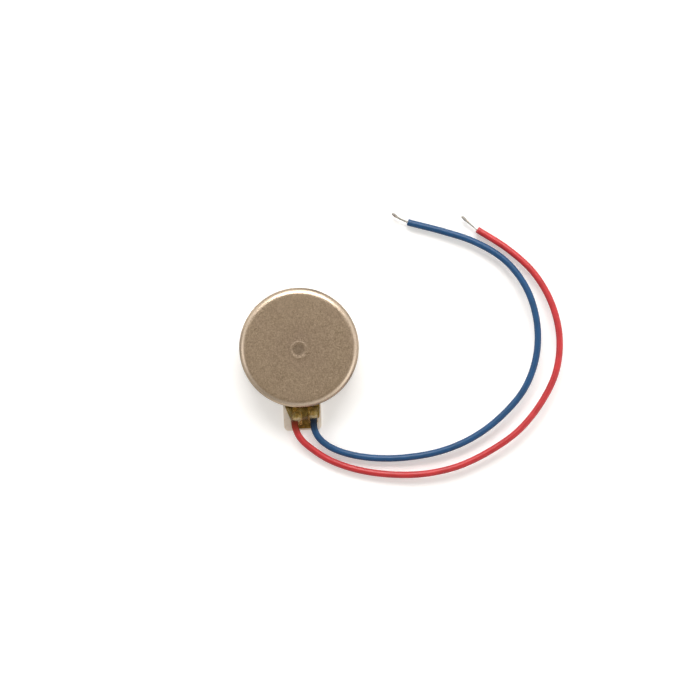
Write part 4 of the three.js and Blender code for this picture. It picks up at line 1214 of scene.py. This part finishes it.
for name, lo, hi in (("lower_washer", lwash_lo, lwash_hi), ("upper_washer", uwash_lo, uwash_hi)):
    give(turned(name + "_ring", [(0.43, lo[2], 0.012), (hi[0], lo[2], 0.012), (hi[0], hi[2], 0.022), (0.43, hi[2], 0.022)], 96, True), M_WASHER, "washer_film", "stator", name)

BRUSH_IN, BRUSH_OUT, BRUSH_T, BRUSH_TIP = 1.12, 1.66, 0.06, 1.54


def brush(name, side):
    """A slit spring leaf: two fingers that rise round the burring and curl down past the contact point."""
    a0, a1 = 270 + side * 14, (405 if side > 0 else 135)
    mid = (BRUSH_IN + BRUSH_OUT) / 2
    length = abs(math.radians(a1 - a0)) * mid
    width, slit0 = BRUSH_OUT - BRUSH_IN, length * 0.4
    lo, hi = width / 2 - 0.04, width / 2 + 0.04
    loop = fillet([(0, 0, 0.1), (length, 0, 0.09), (length, lo, 0.07), (slit0, lo, 0.035), (slit0, hi, 0.035), (length, hi, 0.07), (length, width, 0.09), (0, width, 0.1)], 6)
    bm = plate(name, [loop], 0.0, BRUSH_T, 0.012, resolution=1)
    for k in range(1, 60):
        bmesh.ops.bisect_plane(bm, geom=bm.verts[:] + bm.edges[:] + bm.faces[:], plane_co=(length * k / 60, 0, 0), plane_no=(1, 0, 0), dist=1e-5)
    rise = BRUSH_TIP - brush_lo[2]
    ease = lambda t: t * t * (3 - 2 * t)

    def height(t):
        if t < 0.2:
            return 0.0
        if t > 0.9:
            return rise * ease(0.96) - (t - 0.9) * 1.6
        return rise * ease(0.96 * (t - 0.2) / 0.7)

    for v in bm.verts:
        t = v.co.x / length
        a = math.radians(a0 + (a1 - a0) * t)
        r = BRUSH_IN + v.co.y
        v.co = Vector((r * math.cos(a), r * math.sin(a), brush_lo[2] + height(t) + v.co.z))
    return finish_mesh(name, bm, 32)


give(brush("positive_brush_leaf", -1), M_BRUSH, "brush_alloy", "stator", "positive_brush")
give(brush("negative_brush_leaf", 1), M_BRUSH, "brush_alloy", "stator", "negative_brush")

# ------------------------------------------------------------------ rotor
BEARING_R = bearing_hi[0]
give(turned("rotor_bearing_sleeve", [(0.42, bearing_lo[2], 0), (0.42, bearing_hi[2] - 0.045, 0.01), (0.46, bearing_hi[2], 0.015), (BEARING_R - 0.05, bearing_hi[2], 0.025),
                                     (BEARING_R, bearing_hi[2] - 0.05, 0.025), (BEARING_R, bearing_lo[2] + 0.05, 0.025), (BEARING_R - 0.05, bearing_lo[2], 0.025), (0.46, bearing_lo[2], 0.015), (0.42, bearing_lo[2] + 0.04, 0.01)], 96, True),
     M_BRONZE, "sintered_bronze", "rotor", "rotor_bearing")

FAN_DEG = 97
HUB_R = 1.95


def arc_points(r, a, b, step=2.0):
    n = max(1, int(abs(b - a) / step))
    return [(r * math.cos(math.radians(a + (b - a) * k / n)), r * math.sin(math.radians(a + (b - a) * k / n)), 0) for k in range(n + 1)]


def at_deg(r, a, radius):
    return (r * math.cos(math.radians(a)), r * math.sin(math.radians(a)), radius)


def fan_outline(r_out, r_hub, corner, inner):
    lo, hi = 90 - FAN_DEG, 90 + FAN_DEG
    pts = [at_deg(r_out, lo, corner)] + arc_points(r_out, lo + 5, hi - 5) + [at_deg(r_out, hi, corner), at_deg(r_hub, hi, inner)]
    pts += arc_points(r_hub, hi + 12, lo + 360 - 12) + [at_deg(r_hub, lo, inner)]
    return fillet(pts, 7)


def circle(r, n=96):
    return [(r * math.cos(2 * math.pi * k / n), r * math.sin(2 * math.pi * k / n)) for k in range(n)]


board_bm = plate("board", [fan_outline(board_hi[0], HUB_R, 0.18, 0.16), circle(BEARING_R + 0.01)], board_lo[2], board_hi[2], 0.018, resolution=1)
give(finish_mesh("commutator_board_fan", board_bm, 30), M_BOARD, "board_laminate", "rotor", "commutator_board")

for k in range(6):
    mid, half = 60 * k, (60 - 7) / 2
    outline = [at_deg(1.74, mid - half, 0.06)] + arc_points(1.74, mid - half + 5, mid + half - 5) + [at_deg(1.74, mid + half, 0.06), at_deg(0.98, mid + half, 0.04)]
    outline += arc_points(0.98, mid + half - 6, mid - half + 6) + [at_deg(0.98, mid - half, 0.04)]
    bar = plate("bar", [fillet(outline, 5)], seg_lo[2], seg_hi[2], 0.008, resolution=1)
    give(finish_mesh("commutator_bar_%d" % (k + 1), bar, 30), M_BAR, "gold_plated_copper", "rotor", "commutator_segment_%d" % (k + 1))

COIL_IN, COIL_OUT, COIL_HALF, COIL_BUILD = 1.38, 4.2, math.radians(27.5), 0.78


def coil_centre_line(mid_deg):
    """The middle of the winding, as a dense closed loop of (x, y)."""
    inset = COIL_BUILD / 2
    r_in, r_out = COIL_IN + inset, COIL_OUT - inset

    def corner(r, side):
        along = math.sqrt(r * r - inset * inset)
        return along * math.cos(COIL_HALF) + inset * math.sin(COIL_HALF), side * (along * math.sin(COIL_HALF) - inset * math.cos(COIL_HALF))

    raw = [(*corner(r_out, -1), 0.52), (r_out * 0.997, -r_out * 0.16, 1.6), (r_out * 0.997, r_out * 0.16, 1.6), (*corner(r_out, 1), 0.52), (*corner(r_in, 1), 0.47), (*corner(r_in, -1), 0.47)]
    c, s = math.cos(math.radians(mid_deg)), math.sin(math.radians(mid_deg))
    pts = fillet([(x * c - y * s, x * s + y * c, r) for x, y, r in raw], 10)
    return resample([(x, y, 0) for x, y in pts], 0.07)


def offset_loop(line, d):
    """A closed loop moved sideways by d, outwards when positive."""
    n = len(line)
    out = []
    for i in range(n):
        a, b = Vector(line[i - 1]), Vector(line[(i + 1) % n])
        t = (b - a).normalized()
        out.append((line[i][0] + t.y * d, line[i][1] - t.x * d))
    return out


def coil(name, mid_deg):
    line = coil_centre_line(mid_deg)
    wire = 0.08
    cols, rows = 9, 11
    z0 = coil_lo[2] + 0.01
    section = []

    def scallop(i, j, a, b):
        u, w = (i - (cols - 1) / 2) * wire, z0 + (j + 0.5) * wire
        for k in range(5):
            g = math.radians(a + (b - a) * k / 4)
            section.append((u + wire / 2 * math.cos(g), w + wire / 2 * math.sin(g)))

    for i in range(1, cols - 1):
        scallop(i, 0, 212, 328)
    for j in range(1, rows - 1):
        scallop(cols - 1, j, -58, 58)
    for i in range(cols - 2, 0, -1):
        scallop(i, rows - 1, 32, 148)
    for j in range(rows - 2, 0, -1):
        scallop(0, j, 122, 238)
    n, m = len(line), len(section)
    verts = []
    loops = {}
    for u, w in section:
        key = round(u, 6)
        if key not in loops:
            loops[key] = offset_loop(line, u)
    for i in range(n):
        for u, w in section:
            x, y = loops[round(u, 6)][i]
            # turns lie a little unevenly, as they do in a self-bonded winding
            lift = 0.006 * noise.noise(Vector((x * 2.4, y * 2.4, w * 9.0)))
            verts.append((x, y, w + lift))
    faces = []
    for i in range(n):
        i2 = (i + 1) % n
        for j in range(m):
            k = (j + 1) % m
            faces.append((i * m + j, i * m + k, i2 * m + k, i2 * m + j))
    bm = bmesh.new()
    add(bm, verts, faces)
    return finish_mesh(name, bm, 75)


give(coil("coil_left_winding", 90 + 62), M_COIL, "enamelled_copper", "rotor", "coil_left")
give(coil("coil_right_winding", 90 - 62), M_COIL, "enamelled_copper", "rotor", "coil_right")


def counterweight():
    half, r_in, r_out, groove_r, g = 29.5, 1.26, 4.4, 2.9, 0.16
    lo, hi = 90 - half, 90 + half
    pts = [at_deg(r_out, lo, 0.12)] + arc_points(r_out, lo + 4, hi - 4) + [at_deg(r_out, hi, 0.12)]

    def groove(a, start):
        c = Vector((groove_r * math.cos(math.radians(a)), groove_r * math.sin(math.radians(a))))
        return [(c.x + g * math.cos(math.radians(start + 180 * k / 10)), c.y + g * math.sin(math.radians(start + 180 * k / 10)), 0) for k in range(11)]

    pts += [p for p in reversed(groove(hi, hi + 180))]
    pts += [at_deg(r_in, hi, 0.08)] + arc_points(r_in, hi - 8, lo + 8) + [at_deg(r_in, lo, 0.08)]
    pts += [p for p in reversed(groove(lo, lo))]
    bm = plate("weight", [fillet(pts, 6)], weight_lo[2], weight_hi[2], 0.035, resolution=2)
    return finish_mesh("counterweight_block", bm, 32)


give(counterweight(), M_WEIGHT, "tungsten_alloy", "rotor", "counterweight")


def prism(loop, z0, z1):
    """A straight-sided block on a simple outline."""
    bm = bmesh.new()
    lo = [bm.verts.new((x, y, z0)) for x, y in loop]
    hi = [bm.verts.new((x, y, z1)) for x, y in loop]
    n = len(loop)
    for i in range(n):
        bm.faces.new((lo[i], lo[(i + 1) % n], hi[(i + 1) % n], hi[i]))
    bm.faces.new(list(reversed(lo)))
    bm.faces.new(hi)
    bmesh.ops.triangulate(bm, faces=[f for f in bm.faces if len(f.verts) > 4])
    return bm


def overmould():
    z0, z1, web, gap = mould_lo[2], mould_hi[2], 0.11, 0.015
    bm = plate("mould", [fan_outline(ROTOR_R, 1.22, 0.2, 0.12), circle(BEARING_R + 0.01)], z0, z1, 0.03, resolution=2)
    reach = COIL_BUILD / 2 - 0.03 + gap
    for mid in (90 + 62, 90 - 62):
        line = coil_centre_line(mid)
        n = len(line)
        verts = []
        for d, z in ((reach, z0 + web), (reach, z1 + 0.4), (-reach, z1 + 0.4), (-reach, z0 + web)):
            verts += [(x, y, z) for x, y in offset_loop(line, d)]
        cut = bmesh.new()
        add(cut, verts, [(a * n + i, a * n + (i + 1) % n, (a + 1) % 4 * n + (i + 1) % n, (a + 1) % 4 * n + i) for a in range(4) for i in range(n)])
        bm = boolean(bm, cut, solver="MANIFOLD")
    lo, hi = 90 - 30, 90 + 30
    sector = [at_deg(4.9, lo, 0)] + arc_points(4.9, lo + 4, hi - 4) + [at_deg(4.9, hi, 0), at_deg(1.24, hi, 0.05)] + arc_points(1.24, hi - 8, lo + 8) + [at_deg(1.24, lo, 0.05)]
    bm = boolean(bm, prism(fillet(sector, 4), z0 + web, z1 + 0.4), solver="MANIFOLD")
    return finish_mesh("rotor_overmould_fan", bm, 32)


give(overmould(), M_MOULD, "moulding_resin", "rotor", "rotor_overmould")

# ------------------------------------------------------------------ studio


def studio():
    S = 2.5
    bm = bmesh.new()
    bmesh.ops.create_grid(bm, x_segments=2, y_segments=2, size=S)
    me = bpy.data.meshes.new("floor")
    bm.to_mesh(me)
    bm.free()
    floor = bpy.data.objects.new("floor", me)
    bpy.context.scene.collection.objects.link(floor)
    m = Mat("floor_paper")
    fibre = m.noise(1.2, 4.0, 0.6)
    col = m.mix(m.remap(fibre, 0.3, 0.7), (0.86, 0.86, 0.862), (0.875, 0.875, 0.875))
    # a little glow keeps contact shadows pale, and mirrors see the paper as a warmer, darker field
    path = m.n("ShaderNodeLightPath")
    turn = m.polar()
    wave = m.math("ADD", m.math("MULTIPLY", m.math("SINE", m.math("MULTIPLY_ADD", turn, 3.0, 0.9)), 0.30), m.math("MULTIPLY", m.math("SINE", m.math("MULTIPLY_ADD", turn, 7.0, 2.2)), 0.20))
    seen = m.mix(m.math("ADD", 0.5, wave, clamp=True), (0.27, 0.257, 0.236), (0.70, 0.675, 0.63))
    col = m.mix(path.outputs["Is Glossy Ray"], col, seen)
    m.set(Base_Color=col, Roughness=0.85, Specular_IOR_Level=0.1)
    m.set(Emission_Color=(1.0, 1.0, 1.0, 1.0), Emission_Strength=m.math("MULTIPLY", m.math("SUBTRACT", 1.0, path.outputs["Is Glossy Ray"]), m.remap(m.radius(), 60.0, 700.0, 0.28, 0.6)))
    me.materials.append(m.m)

    w = bpy.data.worlds.new("studio")
    bpy.context.scene.world = w
    w.use_nodes = True
    t = w.node_tree
    t.nodes.clear()
    out = t.nodes.new("ShaderNodeOutputWorld")
    bg = t.nodes.new("ShaderNodeBackground")
    tc = t.nodes.new("ShaderNodeTexCoord")
    sep = t.nodes.new("ShaderNodeSeparateXYZ")
    t.links.new(tc.outputs["Generated"], sep.inputs[0])

    def remap(a, lo, hi, b, c, smooth=True):
        v = t.nodes.new("ShaderNodeMapRange")
        v.interpolation_type = "SMOOTHSTEP" if smooth else "LINEAR"
        t.links.new(a, v.inputs["Value"])
        for k, x in (("From Min", lo), ("From Max", hi), ("To Min", b), ("To Max", c)):
            v.inputs[k].default_value = x
        return v.outputs["Result"]

    def calc(op, a, b):
        v = t.nodes.new("ShaderNodeMath")
        v.operation = op
        for k, x in enumerate((a, b)):
            if isinstance(x, bpy.types.NodeSocket):
                t.links.new(x, v.inputs[k])
            else:
                v.inputs[k].default_value = x
        return v.outputs[0]

    # bright behind the motor, easing off towards the front, with more light from the front right
    around = remap(sep.outputs["Y"], -1.0, 1.0, 0.66, 1.12, False)
    lean = calc("MULTIPLY", calc("SUBTRACT", 1.0, sep.outputs["Y"]), 0.19)
    around = calc("MULTIPLY", around, calc("ADD", 1.0, calc("MULTIPLY", sep.outputs["X"], lean)))
    # dark flags at the front left and the rear left, so that the metal has something to mirror
    turn = calc("ARCTAN2", sep.outputs["Y"], sep.outputs["X"])
    for at, wide, deep in ((-2.25, 0.42, 0.42), (2.95, 0.16, 0.3), (-0.35, 0.12, 0.3), (0.62, 0.1, 0.3)):
        off = calc("DIVIDE", calc("SUBTRACT", turn, at), wide)
        around = calc("MULTIPLY", around, calc("SUBTRACT", 1.0, calc("MULTIPLY", deep, calc("POWER", 2.718, calc("MULTIPLY", -1.0, calc("MULTIPLY", off, off))))))
    low = t.nodes.new("ShaderNodeMix")
    low.data_type = "RGBA"
    low.blend_type = "MULTIPLY"
    low.inputs[0].default_value = 1.0
    comb = t.nodes.new("ShaderNodeCombineColor")
    for i in range(3):
        t.links.new(around, comb.inputs[i])
    low.inputs[6].default_value = (1.0, 0.99, 0.97, 1)
    t.links.new(comb.outputs[0], low.inputs[7])
    up = t.nodes.new("ShaderNodeMix")
    up.data_type = "RGBA"
    t.links.new(remap(sep.outputs["Z"], 0.62, 0.93, 0.0, 1.0), up.inputs[0])
    t.links.new(low.outputs[2], up.inputs[6])
    up.inputs[7].default_value = (0.216, 0.171, 0.113, 1)
    t.links.new(up.outputs[2], bg.inputs["Color"])
    bg.inputs["Strength"].default_value = 1.0
    # seen directly, the room is as pale as the paper
    pale = t.nodes.new("ShaderNodeBackground")
    pale.inputs["Color"].default_value = (1.0, 1.0, 0.995, 1)
    rays = t.nodes.new("ShaderNodeLightPath")
    pick = t.nodes.new("ShaderNodeMixShader")
    t.links.new(rays.outputs["Is Camera Ray"], pick.inputs[0])
    t.links.new(bg.outputs[0], pick.inputs[1])
    t.links.new(pale.outputs[0], pick.inputs[2])
    t.links.new(pick.outputs[0], out.inputs["Surface"])

    def area(name, at, to, sx, sy, watts, colour=(1, 1, 1)):
        li = bpy.data.lights.new(name, "AREA")
        li.shape = "RECTANGLE"
        li.size, li.size_y = sx, sy
        li.energy = watts
        li.color = colour
        ob = bpy.data.objects.new(name, li)
        ob.location = at
        ob.rotation_mode = "QUATERNION"
        ob.rotation_quaternion = (Vector(to) - Vector(at)).to_track_quat("-Z", "Y")
        bpy.context.scene.collection.objects.link(ob)
        return ob

    area("key_softbox", (0.02, 0.34, 0.36), (0.006, 0.0, 0.0), 0.36, 0.2, 1.9, (1.0, 0.985, 0.96))
    area("side_fill", (0.37, -0.21, 0.28), (0.006, 0.0, 0.0), 0.2, 0.34, 0.22)
    area("left_fill", (-0.42, -0.01, 0.28), (0.006, 0.0, 0.0), 0.2, 0.28, 0.17)


studio()

# camera straight above, turned so that the tab points a little right of down
TURN = math.radians(-2.32)
cam_data = bpy.data.cameras.new("camera")
cam_data.sensor_width = 36.0
cam_data.lens = 2597.5 * 36.0 / 700.0
cam_data.clip_start, cam_data.clip_end = 0.005, 10.0
cam = bpy.data.objects.new("camera", cam_data)
cam.location = (4.249 * MM, -0.373 * MM, 220.0 * MM)
cam.rotation_euler = (0.0, 0.0, TURN)
bpy.context.scene.collection.objects.link(cam)
bpy.context.scene.camera = cam
bpy.context.scene.view_settings.view_transform = "Standard"
bpy.context.scene.view_settings.look = "None"

# carried-over CAD nodes that have no finished piece yet
left = [n for n, o in nodes.items() if not o.hide_render]
print("CAD nodes still shown:", left)

bpy.context.view_layer.update()
